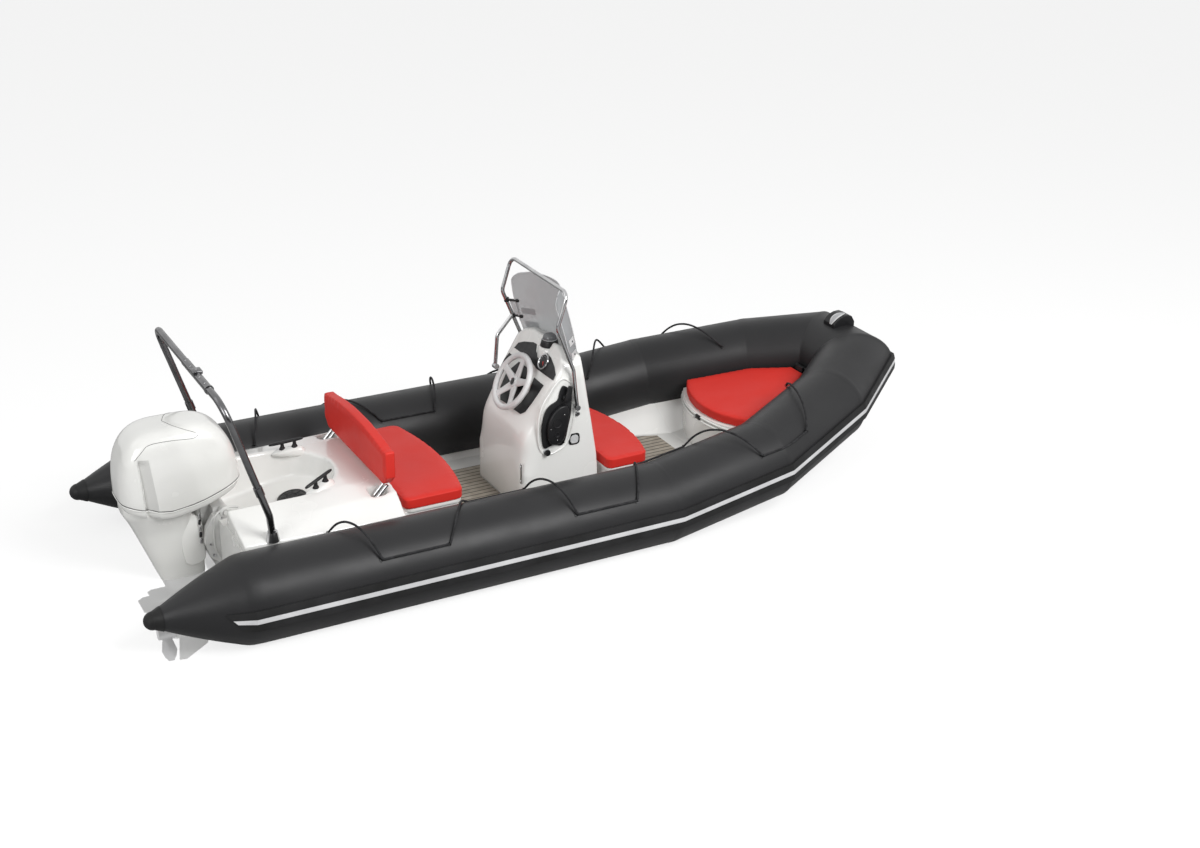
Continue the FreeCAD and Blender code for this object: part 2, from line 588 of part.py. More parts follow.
VENT_T = 6.0
vent_x, vent_z = DASH_X + VENT[0], VENT[1]
vent = box(vent_x - VENT_HALF, vent_x + VENT_HALF, control_y - VENT_T, control_y,
           vent_z - VENT_HALF, vent_z + VENT_HALF)
vent = vent.makeFillet(14, [e for e in vent.Edges if abs(e.tangentAt(e.FirstParameter).y) > 0.99])
save("side_vent", vent)
LOCK = (222.0, 712.0)
LOCK_R = 17.0
lock_x, lock_z = DASH_X + LOCK[0], LOCK[1]
save("side_lock", rod((lock_x, control_y, lock_z), (lock_x, control_y - PLATE_T, lock_z), LOCK_R))

# grab rail round the screen, with its extra hoop on the port side
RAIL = [(208, 378, 766), (176, 378, 1028), (50, 394, 1335), (118, 394, 1557)]
RAIL_BEND = 62.0
RAIL_FOOT_R = 19.0
rail_half = from_dash(RAIL)
rail_path = rail_half + [(x, -y, z) for x, y, z in reversed(rail_half)]
rail = bent_tube(rail_path, RAIL_R, RAIL_BEND)
HOOP = [(121, 384, 1158), (6, 378, 1035), (-10, 378, 818)]
hoop = from_dash(HOOP)
for x, y, z in (rail_path[0], rail_path[-1], hoop[-1]):
    side = 1 if y > 0 else -1
    rail = rail.fuse(rod((x, side * (CONSOLE_Y + SEAT), z), (x, side * (abs(y) + RAIL_R), z), RAIL_FOOT_R))
rail = rail.fuse(bent_tube(hoop, RAIL_R, RAIL_BEND))
save("grab_rail", rail)


# windscreen: level arcs at its foot and its top
def screen_wire(z, end_x, end_y, mid_x):
    ahead = Part.Arc(V(end_x, end_y, z), V(mid_x, 0, z), V(end_x, -end_y, z)).toShape()
    behind = ahead.translated(V(-SCREEN_T, 0, 0))
    ends = [Part.LineSegment(V(end_x, y, z), V(end_x - SCREEN_T, y, z)).toShape() for y in (-end_y, end_y)]
    return Part.Wire([ahead, ends[0], behind, ends[1]])


screen = Part.makeLoft([screen_wire(*row) for row in SCREEN], True, True)
top_z, top_x, top_y = SCREEN[1][:3]
corner_at = V(top_x - 100, top_y + 3 - SCREEN_CORNER_R, top_z - SCREEN_CORNER_R)
corner = box(corner_at.x, CONSOLE_FRONT_X, corner_at.y, top_y + SCREEN_CORNER_R, corner_at.z, top_z + 1)
corner = corner.cut(Part.makeCylinder(SCREEN_CORNER_R, CONSOLE_FRONT_X, corner_at, V(1, 0, 0)))
screen = screen.cut(both_sides(corner)).cut(console)
screen = max(screen.Solids, key=lambda s: s.Volume)
save("windscreen", screen)
# clamps that hold the screen to the rail: share of the screen's height, half width and x of the rail there
SCREEN_CLAMPS = [(0.50, 385.0, DASH_X + 70), (0.26, 379.0, DASH_X + 122)]
CLAMP_R = 13.0
clamps = []
foot, head = SCREEN
for share, y, x in SCREEN_CLAMPS:
    z, end_x, end_y = [foot[k] + (head[k] - foot[k]) * share for k in (0, 1, 2)]
    clamps.append(rod((end_x + 12, end_y - 14, z), (x, y, z), CLAMP_R))
clamps = Part.Compound([max(c.cut(rail).cut(screen).Solids, key=lambda s: s.Volume) for c in clamps])
save("screen_clamps", both_sides(clamps))

# ---------------------------------------------------------------- bow locker
def locker_outline(inset):
    c, w, f = LOCKER_CORNER_X, LOCKER_WAIST_X, LOCKER_FRONT_X - inset
    half = [(c + inset, LOCKER_CORNER_Y - inset), (w, LOCKER_WAIST_Y - inset), (f, LOCKER_FRONT_Y)]
    aft = Part.Arc(V(half[0][0], -half[0][1], 0), V(LOCKER_AFT_X + inset, 0, 0), V(*half[0], 0)).toShape()
    loop = [V(*p, 0) for p in half] + [V(x, -y, 0) for x, y in reversed(half)]
    return Part.Face(Part.Wire([aft] + [Part.LineSegment(p, q).toShape() for p, q in zip(loop, loop[1:])]))


def under_lid(offset):
    """Everything below the sloping lid plane, moved up by offset."""
    x0, x1 = LOCKER_AFT_X - 200, LOCKER_FRONT_X + 200
    z0, z1 = [LOCKER_Z + offset + LOCKER_RISE * (x - LOCKER_AFT_X) for x in (x0, x1)]
    return side_plate([(x0, -500), (x0, z0), (x1, z1), (x1, -500)], -900, 900)


def locker_slice(inset, low, high):
    block = locker_outline(inset).extrude(V(0, 0, 900))
    piece = block.common(under_lid(high))
    return piece if low is None else piece.cut(under_lid(low))


EAR_Y = 46.0                    # inner faces of the fixed hinge ears
EAR_T = 12.0
ARM_Y = 40.0                    # half width of the lid's hinge arm
front_z = LOCKER_Z + LOCKER_RISE * (LOCKER_FRONT_X - LOCKER_AFT_X)
ledge_z = front_z - LID_T - LEDGE_DROP
ledge = box(LOCKER_FRONT_X - LEDGE_DEPTH, HINGE_X + HINGE_EYE_R, -EAR_Y - EAR_T, EAR_Y + EAR_T,
            SOLE_Z, ledge_z)
locker = locker_slice(10, None, -LID_T - SEAT)
locker = locker.fuse(ledge)
ear = box(HINGE_X - HINGE_LEAF, HINGE_X + HINGE_EYE_R, EAR_Y, EAR_Y + EAR_T, ledge_z - LEDGE_DROP, HINGE_Z)
ear = ear.fuse(rod((HINGE_X, EAR_Y, HINGE_Z), (HINGE_X, EAR_Y + EAR_T, HINGE_Z), HINGE_EYE_R))
ear = ear.cut(rod((HINGE_X, 0, HINGE_Z), (HINGE_X, 2 * EAR_Y, HINGE_Z), HINGE_PIN_R + SEAT))
locker = locker.fuse(ear).fuse(mirrored(ear)).cut(hull).cut(seat_cutter)
save("bow_locker", max(locker.Solids, key=lambda s: s.CenterOfMass.z).removeSplitter())
leaf_x = LOCKER_FRONT_X - 5
arm = box(leaf_x - HINGE_LEAF, leaf_x, -ARM_Y, ARM_Y, front_z - 14, HINGE_Z + HINGE_EYE_R)
arm = arm.fuse(box(leaf_x - HINGE_LEAF, HINGE_X, -ARM_Y, ARM_Y, HINGE_Z + 2, HINGE_Z + HINGE_EYE_R))
arm = arm.fuse(rod((HINGE_X, -ARM_Y, HINGE_Z), (HINGE_X, ARM_Y, HINGE_Z), HINGE_EYE_R))
arm = arm.fuse(rod((HINGE_X, -EAR_Y - EAR_T, HINGE_Z), (HINGE_X, EAR_Y + EAR_T, HINGE_Z), HINGE_PIN_R))
save("bow_lid", locker_slice(4, -LID_T, 0).cut(seat_cutter).fuse(arm).removeSplitter())
save("bow_cushion", locker_slice(14, SEAT, CUSHION_T).cut(seat_cutter))
LATCH_Y = 26.0
LATCH_T = 14.0
latch_x = LOCKER_AFT_X + 4      # the lid's aft edge
latch = box(latch_x - LATCH_T, latch_x - SEAT, -LATCH_Y, LATCH_Y, LOCKER_Z - LID_T - LATCH_T, LOCKER_Z - 2)
save("locker_latch", latch)

# ---------------------------------------------------------------- roll bar
BOSS = (40.0, 30.0, 60.0)       # the moulded boss at each foot: radius below, radius above, height
BOSS_Z = 440.0                  # where it starts, inside the deck
bar_path = [(BAR_FOOT[0], BAR_FOOT[1], BOSS_Z + BOSS[1]), BAR_KNEE, BAR_ELBOW]
bar_path += [(x, -y, z) for x, y, z in reversed(bar_path)]
roll_bar = bent_tube(bar_path, BAR_R, BAR_BEND)
save("roll_bar", roll_bar.cut(deck))
feet = Part.makeCone(*BOSS, V(*BAR_FOOT, BOSS_Z), V(0, 0, 1)).cut(roll_bar).cut(deck).cut(seat_cutter)
save("roll_bar_feet", both_sides(max(feet.Solids, key=lambda s: s.Volume)))

# ---------------------------------------------------------------- engine mounting
TILT_R = 14.0
PIVOT_R = 32.0
CLAMP_OUTLINE = [(-SEAT, 95), (-62, 140), (-92, 240), (-80, 345), (-34, 420), (TILT_X, TILT_Z), (72, 425),
                 (60, TRANSOM_TOP + SEAT), (-SEAT, TRANSOM_TOP + SEAT)]
clamp = side_plate(CLAMP_OUTLINE, BRACKET_Y_IN, BRACKET_Y_OUT)
eye = rod((TILT_X, BRACKET_Y_IN, TILT_Z), (TILT_X, BRACKET_Y_OUT, TILT_Z), PIVOT_R)
bore = rod((TILT_X, 0, TILT_Z), (TILT_X, 2 * BRACKET_Y_OUT, TILT_Z), TILT_R + SEAT)
clamp = clamp.fuse(eye).cut(bore)
save("clamp_brackets", both_sides(clamp))

SWIVEL_R = 31.0
WEB_Y = 38.0
SWIVEL_LOW, SWIVEL_HIGH = 132.0, 452.0
# outlines in x and z of the web between the steering tube and the tilt tube, and of the yoke on the tilt tube
WEB = [(STEER_X, 330), (STEER_X, 445), (TILT_X - 30, 452), (TILT_X - 30, 404), (-16, 396), (-16, 300)]
YOKE = [(-22, 400), (-22, 448), (TILT_X, 458), (TILT_X, 404)]
YOKE_GAP = 6.0                  # between the yoke and each clamp bracket
PIN_R = 15.0
yoke_y = BRACKET_Y_IN - YOKE_GAP
pin_end = BRACKET_Y_OUT + 22
swivel = Part.makeCylinder(SWIVEL_R, SWIVEL_HIGH - SWIVEL_LOW, V(STEER_X, 0, SWIVEL_LOW))
swivel = swivel.fuse(side_plate(WEB, -WEB_Y, WEB_Y)).fuse(side_plate(YOKE, -yoke_y, yoke_y))
swivel = swivel.fuse(rod((TILT_X, -yoke_y, TILT_Z), (TILT_X, yoke_y, TILT_Z), TILT_R + 12))
swivel = swivel.fuse(rod((TILT_X, -pin_end, TILT_Z), (TILT_X, pin_end, TILT_Z), TILT_R))
steer_bore = Part.makeCylinder(PIN_R + SEAT, 2 * SWIVEL_HIGH, V(STEER_X, 0, -SWIVEL_HIGH))
save("swivel_bracket", swivel.cut(steer_bore).removeSplitter())

# ---------------------------------------------------------------- outboard engine
def ring8(z, aft_x, fore_x, half_y, cut_aft, cut_fore):
    """A level eight-sided section of the engine."""
    right = [(aft_x, -(half_y - cut_aft)), (aft_x + cut_aft, -half_y), (fore_x - cut_fore, -half_y),
             (fore_x, -(half_y - cut_fore))]
    return [(x, y, z) for x, y in right] + [(x, -y, z) for x, y in reversed(right)]


def ring12(z, aft_x, fore_x, half_y, cut_aft, cut_fore):
    """The same with each corner rounded by two facets."""
    bulge = 0.30
    right = [(aft_x, -(half_y - cut_aft)), (aft_x + bulge * cut_aft, -(half_y - bulge * cut_aft)),
             (aft_x + cut_aft, -half_y), (fore_x - cut_fore, -half_y),
             (fore_x - bulge * cut_fore, -(half_y - bulge * cut_fore)), (fore_x, -(half_y - cut_fore))]
    return [(x, y, z) for x, y in right] + [(x, -y, z) for x, y in reversed(right)]


SEAM_AFT, SEAM_FORE = 505.0, 560.0          # height of the cowl's lower edge at its two ends
# sections of the cowl: z, aft x, fore x, half width, corner cuts aft and forward
COWL = [
    (440.0, -536.0, 162.0, 196.0, 120.0, 110.0),
    (621.0, -556.0, 160.0, 208.0, 140.0, 118.0),
    (780.0, -548.0, 146.0, 206.0, 140.0, 118.0),
    (880.0, -520.0, 112.0, 194.0, 132.0, 110.0),
    (955.0, -470.0, 60.0, 172.0, 116.0, 100.0),
    (1000.0, -404.0, -8.0, 138.0, 92.0, 84.0),
    (COWL_TOP, -310.0, -110.0, 78.0, 48.0, 44.0),
]
cowl = loft([ring12(*row) for row in COWL])
seam_end = SEAM_AFT - 8 + (SEAM_FORE - SEAM_AFT) * 1100 / 756
seam_cut = side_plate([(-700, 0), (-700, SEAM_AFT - 8), (400, seam_end), (400, 0)], -400, 400)
save("engine_cowl", cowl.cut(seam_cut))

# lower cowling and leg: the same columns
PAN = [
    (472.0, -540.0, 170.0, 188.0, 116.0, 104.0),
    (620.0, -560.0, 176.0, 206.0, 138.0, 112.0),
]
seam_lip = seam_cut.copy()
seam_lip.translate(V(0, 0, -SEAT))
pan = loft([ring12(*row) for row in PAN]).common(seam_lip)
LEG = [
    (472.0, -536.0, -128.0, 140.0, 90.0, 88.0),
    (330.0, -468.0, -128.0, 98.0, 60.0, 66.0),
    (126.0, -391.0, -128.0, 73.0, 46.0, 40.0),
    (84.0, -376.0, -72.0, 66.0, 43.0, 38.0),
    (-70.0, -318.0, -80.0, 50.0, 34.0, 30.0),
    (PLATE_Z, -300.0, -104.0, 34.0, 20.0, 20.0),
]
leg = loft([ring8(*row) for row in LEG])
LOWER_MOUNT = [(-140, 84), (STEER_X + 30, 84), (STEER_X + 30, SWIVEL_LOW - 6), (-140, SWIVEL_LOW - 6)]
lower_mount = side_plate(LOWER_MOUNT, -34, 34)
pin = Part.makeCylinder(PIN_R, 390, V(STEER_X, 0, 90))
save("engine_pan", pan.cut(leg).fuse(pin.common(box(-300, 300, -300, 300, 300, 480))).removeSplitter())
save("engine_leg", leg.fuse(lower_mount).fuse(pin.common(box(-300, 300, -300, 300, 0, 299))).removeSplitter())
GEAR = [
    (PLATE_Z - 10, -292.0, -108.0, 26.0, 18.0, 22.0),
    (SHAFT_Z, -275.0, -78.0, 22.0, 16.0, 20.0),
]
# level plates, half outlines: the anti-ventilation plate and the splash plate above it
PLATE = [(-477, 70), (-440, 98), (-230, 98), (-110, 34)]
SPLASH = [(-418, 58), (-390, 76), (-200, 76), (-112, 30)]
PLATE_THICK = 10.0
SPLASH_Z = -118.0
SKEG = [(-262, SHAFT_Z), (-276, -596), (-232, -600), (-92, -520), (-84, SHAFT_Z)]
SKEG_Y = 7.0
TORPEDO_FORE = -90.0            # where the gearcase bullet starts to taper, and its nose
NOSE_LENGTH = 62.0
NOSE_R = 16.0
SHAFT_R = 12.0
SHAFT_LENGTH = 80.0


def level_plate(half, z0, z1):
    return slab([(x, -y) for x, y in half] + list(reversed(half)), z0, z1)


torpedo_aft = PROP_X + 52
gearcase = level_plate(PLATE, PLATE_Z - PLATE_THICK, PLATE_Z - SEAT).fuse(loft([ring8(*row) for row in GEAR]))
gearcase = gearcase.fuse(rod((torpedo_aft, 0, SHAFT_Z), (TORPEDO_FORE, 0, SHAFT_Z), TORPEDO_R))
nose = Part.makeCone(TORPEDO_R, NOSE_R, NOSE_LENGTH, V(TORPEDO_FORE, 0, SHAFT_Z), V(1, 0, 0))
gearcase = gearcase.fuse(nose)
gearcase = gearcase.fuse(side_plate(SKEG, -SKEG_Y, SKEG_Y))
gearcase = gearcase.fuse(rod((torpedo_aft - SHAFT_LENGTH, 0, SHAFT_Z), (torpedo_aft, 0, SHAFT_Z), SHAFT_R))
save("gearcase", gearcase.removeSplitter())
save("splash_plate", level_plate(SPLASH, SPLASH_Z, SPLASH_Z + PLATE_THICK).cut(leg))

# propeller: three pitched blades; sections by radius, chord and pitch angle in degrees
BLADE = [(36.0, 62.0, 58.0), (110.0, 122.0, 38.0), (150.0, 104.0, 30.0), (PROP_R, 52.0, 26.0)]
BLADE_T = 5.0
HUB_LENGTH = 96.0


def blade_section(r, chord, pitch):
    a = math.radians(pitch)
    along = V(math.sin(a), math.cos(a), 0) * (chord / 2)
    across = V(math.cos(a), -math.sin(a), 0) * (BLADE_T / 2)
    c = V(PROP_X, 0, SHAFT_Z + r)
    return [tuple(c + along * i + across * j) for i, j in ((-1, 0), (0, 1), (1, 0), (0, -1))]


blade = loft([blade_section(*row) for row in BLADE])
propeller = Part.makeCone(BLADE[0][0], BLADE[0][0] + 10, HUB_LENGTH, V(PROP_X - 50, 0, SHAFT_Z), V(1, 0, 0))
for i in range(3):
    turned = blade.copy()
    turned.rotate(V(PROP_X, 0, SHAFT_Z), V(1, 0, 0), 120 * i + 30)
    propeller = propeller.fuse(turned)
shaft_end = torpedo_aft - SHAFT_LENGTH - SEAT
shaft_room = rod((shaft_end, 0, SHAFT_Z), (torpedo_aft, 0, SHAFT_Z), SHAFT_R + SEAT)
save("propeller", propeller.cut(shaft_room).removeSplitter())

# arched bow fitting that stands on the nose: x from the nose tube's centre, height above its top
ARCH = [(-78, 16), (-62, 40), (-36, 60), (0, 72), (42, 74), (78, 58), (100, 22)]
ARCH_Y = 62.0
ARCH_ROUND = 7.0
nose_at = V(KNUCKLES[-1][0], 0, TUBE_Z + KNUCKLES[-1][2])
arch = [(nose_at.x + x, nose_at.z + TUBE_R + z) for x, z in ARCH]
arch = side_plate([(arch[0][0], nose_at.z)] + arch + [(arch[-1][0], nose_at.z)], -ARCH_Y, ARCH_Y)
arch_low = nose_at.z + TUBE_R
arch_rim = [e for e in arch.Edges if abs(abs(e.CenterOfMass.y) - ARCH_Y) < 1 and e.CenterOfMass.z > arch_low]
arch = arch.makeFillet(ARCH_ROUND, arch_rim)
nose_room = rod((nose_at.x, -TUBE_R, nose_at.z), (nose_at.x, TUBE_R, nose_at.z), TUBE_R + SEAT)
save("bow_fitting", arch.cut(nose_room))

# ---------------------------------------------------------------- lifelines round the collar
ROPE_R = 5.0
EYE_LIFT = 14.0                 # rope's centre above the fabric at an eye
EYE_R = 10.8
EYE_WIRE_R = 2.0
EYE_REACH = 10.0                # how close to an eye the rope starts to turn
PATCH_R = 15.0
PATCH_T = 3.0
OUTER_ANGLE = 39.0              # eyes round the tube, from its outer side over the top
INNER_ANGLE = 138.0
# each crossing over the tube: x of its inner eye, x of its outer eye, height of the slack at its top
CROSSINGS = [(492, 663, 44), (1378, 1083, 0), (1766, 1920, 44), (2560, 2337, 0), (2982, 3300, 60),
             (4020, 3650, 40)]


def on_collar(x, angle, lift):
    """A point lift above the collar's fabric; the angle runs from the outer side over the top."""
    segment = max(i for i in range(len(KNUCKLES)) if COLLAR[i][0] <= x)
    a, b = V(*COLLAR[segment]), V(*COLLAR[segment + 1])
    here = a + (b - a) * ((x - a.x) / (b.x - a.x))
    along = (b - a).normalize()
    out = V(-along.y, along.x, 0).normalize()
    up = along.cross(out)
    turn = math.radians(angle)
    return here + (out * math.cos(turn) + up * math.sin(turn)) * (TUBE_R + lift)


def arc_middle(before, corner, after, reach):
    """The middle of the arc that rounds a corner of the rope's way, reach from the corner."""
    u, w = (corner - before).normalize(), (after - corner).normalize()
    half = u.getAngle(w) / 2
    bend = reach / math.tan(half)
    return corner + (w - u).normalize() * (bend / math.cos(half) - bend)


def rope(points, held):
    """A rope along straight runs, with tight arcs at the eyes that hold it and wide ones between them."""
    edges = []
    start = points[0]
    for before, corner, after in zip(points, points[1:], points[2:]):
        u, w = (corner - before).normalize(), (after - corner).normalize()
        reach = EYE_REACH if corner in held else 0.45 * min((corner - before).Length, (after - corner).Length)
        a, b = corner - u * reach, corner + w * reach
        edges.append(Part.LineSegment(start, a).toShape())
        edges.append(Part.Arc(a, arc_middle(before, corner, after, reach), b).toShape())
        start = b
    edges.append(Part.LineSegment(start, points[-1]).toShape())
    ring = Part.Wire(Part.Circle(points[0], points[1] - points[0], ROPE_R).toShape())
    return Part.Wire(edges).makePipeShell([ring], True, True)


def crossing_points(inner_x, outer_x, slack):
    """The rope's way from the inner eye over the tube to the outer eye."""
    steps = (0.17, 0.33, 0.5, 0.67, 0.83)
    lift = EYE_LIFT + 2
    return [on_collar(inner_x + (outer_x - inner_x) * t, INNER_ANGLE + (OUTER_ANGLE - INNER_ANGLE) * t,
                      lift + slack * math.sin(math.pi * t)) for t in steps]


route = []
eyes = []
for k, (inner_x, outer_x, slack) in enumerate(CROSSINGS):
    over = [on_collar(inner_x, INNER_ANGLE, EYE_LIFT)] + crossing_points(inner_x, outer_x, slack)
    over.append(on_collar(outer_x, OUTER_ANGLE, EYE_LIFT))
    eyes += [(inner_x, INNER_ANGLE), (outer_x, OUTER_ANGLE)]
    over = over if k % 2 == 0 else over[::-1]
    if route:
        x0, x1 = CROSSINGS[k - 1][1 if k % 2 else 0], CROSSINGS[k][1 if k % 2 else 0]
        angle = OUTER_ANGLE if k % 2 else INNER_ANGLE
        route += [on_collar(x, angle, EYE_LIFT + 4) for x, _, _ in KNUCKLES if x0 < x < x1]
    route += over
save("lifelines", both_sides(rope(route, [on_collar(x, angle, EYE_LIFT) for x, angle in eyes])))

rings = []
for x, angle in eyes:
    base, centre = on_collar(x, angle, SEAT), on_collar(x, angle, EYE_LIFT)
    out = (centre - base).normalize()
    place = min(range(len(route)), key=lambda i: (route[i] - centre).Length)
    before, after = route[max(place - 1, 0)], route[min(place + 1, len(route) - 1)]
    if 0 < place < len(route) - 1:
        centre = arc_middle(before, centre, after, EYE_REACH)
    patch = Part.makeCylinder(PATCH_R, PATCH_T, base + out * 0.6, out)
    stem = rod(tuple(base + out * 2), tuple(centre - out * EYE_R), EYE_WIRE_R)
    ring = Part.makeTorus(EYE_R, EYE_WIRE_R, centre, after - before)
    rings.append(patch.fuse(stem).fuse(ring))
save("lifeline_eyes", both_sides(Part.Compound(rings)))
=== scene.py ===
"""Looks of a rigid inflatable boat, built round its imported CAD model."""
import json
import math

import bmesh
import bpy
from bpy.props import FloatProperty, FloatVectorProperty, PointerProperty
from mathutils import Matrix, Vector
from mathutils.bvhtree import BVHTree
from mathutils.kdtree import KDTree


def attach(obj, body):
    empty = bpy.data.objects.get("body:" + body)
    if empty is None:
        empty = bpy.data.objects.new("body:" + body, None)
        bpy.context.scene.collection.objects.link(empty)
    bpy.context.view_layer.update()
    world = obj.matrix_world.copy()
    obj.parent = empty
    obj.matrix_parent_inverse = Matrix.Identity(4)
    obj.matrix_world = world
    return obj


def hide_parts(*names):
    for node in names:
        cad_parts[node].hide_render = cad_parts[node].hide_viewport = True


bl_info = {
    "name": "Rigid inflatable boat",
    "version": (1, 0, 0),
    "blender": (4, 5, 0),
    "location": "3D View > Sidebar > Boat",
    "description": "Dresses the boat's CAD frame: collar, cushions, console, engine and fittings",
    "category": "Object",
}

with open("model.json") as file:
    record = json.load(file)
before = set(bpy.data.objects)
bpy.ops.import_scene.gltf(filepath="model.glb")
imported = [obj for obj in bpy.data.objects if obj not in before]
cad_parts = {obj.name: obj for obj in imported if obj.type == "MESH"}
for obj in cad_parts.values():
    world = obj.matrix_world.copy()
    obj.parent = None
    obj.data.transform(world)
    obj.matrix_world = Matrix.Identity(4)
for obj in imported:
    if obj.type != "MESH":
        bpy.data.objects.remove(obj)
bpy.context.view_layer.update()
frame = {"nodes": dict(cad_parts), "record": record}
NODES = frame["nodes"]
SIDES = ((1, "port"), (-1, "starboard"))

# Camera: where it stands, which way it looks, its lens on a 36 mm wide sensor, and how far it sees.
CAMERA_PLACE = (-2.334, -8.880, 4.989)
CAMERA_AZIMUTH, CAMERA_ELEVATION, CAMERA_ROLL = -29.458, 24.120, 1.357
CAMERA_LENS, SENSOR_WIDTH = 49.56, 36.0
CAMERA_REACH = 300

# Stage: the middle of the floor, the point that the lamps look at, and where the sky's two halves blend.
FLOOR_MIDDLE, LAMPS_LOOK_AT = (2.3, 0, 0), (2.2, 0, .3)
FLOOR_GLOW, SKY_BLEND = .3, .25
# each lamp: its name, place and size, and the setting that holds its power
LAMPS = (("key", (4.6, -7.6, 7.2), 4.5, "key_power"), ("fill", (-6.0, 3.0, 7.5), 5, "fill_power"),
         ("low_fill", (-6.5, -5.5, 4.5), 4, "low_fill_power"))
# a dark card off to starboard, seen only as a reflection in the polished metal
CARD_PLACE, CARD_SIZE, CARD_COLOUR = (1, -19, 4), (34, 7, 1), (.02, .02, .02, 1)

# Each finish: light and dark colour, blotch scale, roughness low and high, kind of grain, its scale and depth in m.
FINISHES = {
    "collar_fabric": ((.024, .024, .025), (.019, .019, .020), 1.6, .34, .44, "weave", 900, .00008),
    "black_rubber": ((.022, .022, .023), (.013, .013, .013), 5, .42, .6, "noise", 400, .0001),
    "grey_rubber": ((.66, .66, .67), (.56, .56, .57), 5, .45, .6, "noise", 400, .0001),
    "white_gelcoat": ((.86, .86, .84), (.80, .80, .775), 1.3, .16, .3, "noise", 35, .00012),
    "red_vinyl": ((.67, .034, .025), (.635, .031, .023), 2, .42, .52, "leather", 420, .00018),
    "plank_mat": ((.40, .36, .30), (.30, .265, .215), 14, .6, .8, "planks", 7, .0030),
    "stainless_steel": ((.56, .56, .56), (.44, .44, .45), 9, .08, .16, "noise", 300, .00003),
    "gunmetal_tube": ((.20, .20, .205), (.15, .15, .155), 9, .16, .28, "noise", 500, .00004),
    "white_paint": ((.84, .84, .815), (.78, .78, .75), 2, .16, .28, "noise", 45, .00008),
    "grey_paint": ((.62, .62, .6), (.5, .5, .49), 7, .3, .45, "noise", 300, .00012),
    "propeller_alloy": ((.25, .25, .255), (.16, .16, .165), 12, .2, .36, "noise", 260, .0001),
    "smoked_acrylic": ((.46, .47, .48), (.42, .43, .44), 2, .03, .07, "noise", 20, .00002),
    "light_grey_plastic": ((.7, .7, .7), (.62, .62, .62), 9, .32, .45, "noise", 600, .00008),
    "grey_plastic": ((.46, .47, .48), (.38, .39, .4), 9, .35, .5, "noise", 600, .00008),
    "black_rope": ((.035, .035, .037), (.016, .016, .017), 30, .7, .9, "braid", 260, .0006),
    "shut_line": ((.2, .2, .195), (.12, .12, .118), 9, .5, .7, "noise", 500, .00008),
    "pane_edge": ((.62, .63, .64), (.55, .56, .57), 8, .08, .16, "noise", 60, .00002),
    # painted shade: a greyer paint laid in the cowl's rear hollow, standing in for the shade that falls there
    "shaded_paint": ((.66, .66, .64), (.62, .62, .60), 2, .2, .32, "noise", 45, .00008),
    "compass_glass": ((.16, .165, .17), (.12, .125, .13), 12, .05, .1, "noise", 90, .00002),
    "black_plastic": ((.016, .016, .017), (.010, .010, .011), 9, .3, .48, "noise", 700, .00008),
}
METALS = ("stainless_steel", "gunmetal_tube", "propeller_alloy")
GLOSSY_COATS = {"white_gelcoat": .6, "white_paint": .6, "grey_paint": .15}
DULL = {"collar_fabric": .22, "black_rubber": .2, "black_rope": .2, "black_plastic": .3, "red_vinyl": .22,
        "smoked_acrylic": .12}
COAT_ROUGHNESS, BUMP_STRENGTH = .08, .6
# the part of a noise's or a wave's range that makes blotches of colour, uneven gloss and the seams between planks
BLOTCH_SPAN, GLOSS_SPAN, PLANK_SEAM = (.35, .65), (.3, .7), (.02, .14)
PANE_ALPHA, PANE_IOR = .62, 1.49
SEAM_COLOUR = (.05, .045, .04, 1)
# nodes that look different from the rest of their slot
LOOKS = {"lifeline_eyes": "black_plastic", "roll_bar_feet": "stainless_steel"}
MATERIALS = {}


# ---------------------------------------------------------------- settings
def colour(name, description, default):
    """A setting for a colour."""
    return FloatVectorProperty(name=name, description=description, default=default, size=3, min=0, max=1,
                               subtype="COLOR")


def amount(name, description, default, unit="NONE", **limits):
    """A setting for a length, a power or a strength."""
    return FloatProperty(name=name, description=description, default=default, unit=unit, **{"min": 0, **limits})


class BoatLooks(bpy.types.PropertyGroup):
    """Colours of the main finishes, and thicknesses of the soft and clear pieces."""

    collar_fabric: colour("Collar", "Colour of the inflated collar's fabric", FINISHES["collar_fabric"][0])
    white_gelcoat: colour("Gelcoat", "Colour of the hull, deck, console and seat bases", FINISHES["white_gelcoat"][0])
    red_vinyl: colour("Cushions", "Colour of the cushions' coated vinyl", FINISHES["red_vinyl"][0])
    white_paint: colour("Engine", "Colour of the engine's paint", FINISHES["white_paint"][0])
    seat_swell: amount("Seat swell", "How far a seat cushion may swell", .007, "LENGTH")
    backrest_swell: amount("Backrest swell", "How far the backrest may swell", .009, "LENGTH")
    rope_braid: amount("Rope braid", "How far the lifelines' braid stands out from their core", .0019, "LENGTH")
    pane_thickness: amount("Pane thickness", "Thickness of the windscreen's sheet", .0045, "LENGTH", min=.001)


class BoatStage(bpy.types.PropertyGroup):
    """The floor, the lamps and the sky round the boat."""

    floor_colour: colour("Floor colour", "Colour of the floor that the boat floats on", (.9, .9, .9))
    floor_bounce: amount("Floor bounce", "How pale the floor is to the light it sends back", .5, max=1)
    floor_veil: amount("Floor veil", "Share of the floor that hides what is under the water level", .36, max=1)
    floor_size: amount("Floor size", "Side of the floor", 120, "LENGTH", min=10)
    key_power: amount("Key power", "Power of the big lamp", 810, "POWER")
    fill_power: amount("Fill power", "Power of the lamp that fills the shade", 70, "POWER")
    low_fill_power: amount("Low fill power", "Power of the low lamp off the starboard quarter", 270, "POWER")
    sky_light: amount("Sky light", "Strength of the sky overhead", .43)
    under_light: amount("Light from below", "Strength of the sky under the floor", .26)


# ---------------------------------------------------------------- finishes
def new_tree(block):
    """The node tree of a new material or world."""
    block.use_nodes = True
    return block.node_tree


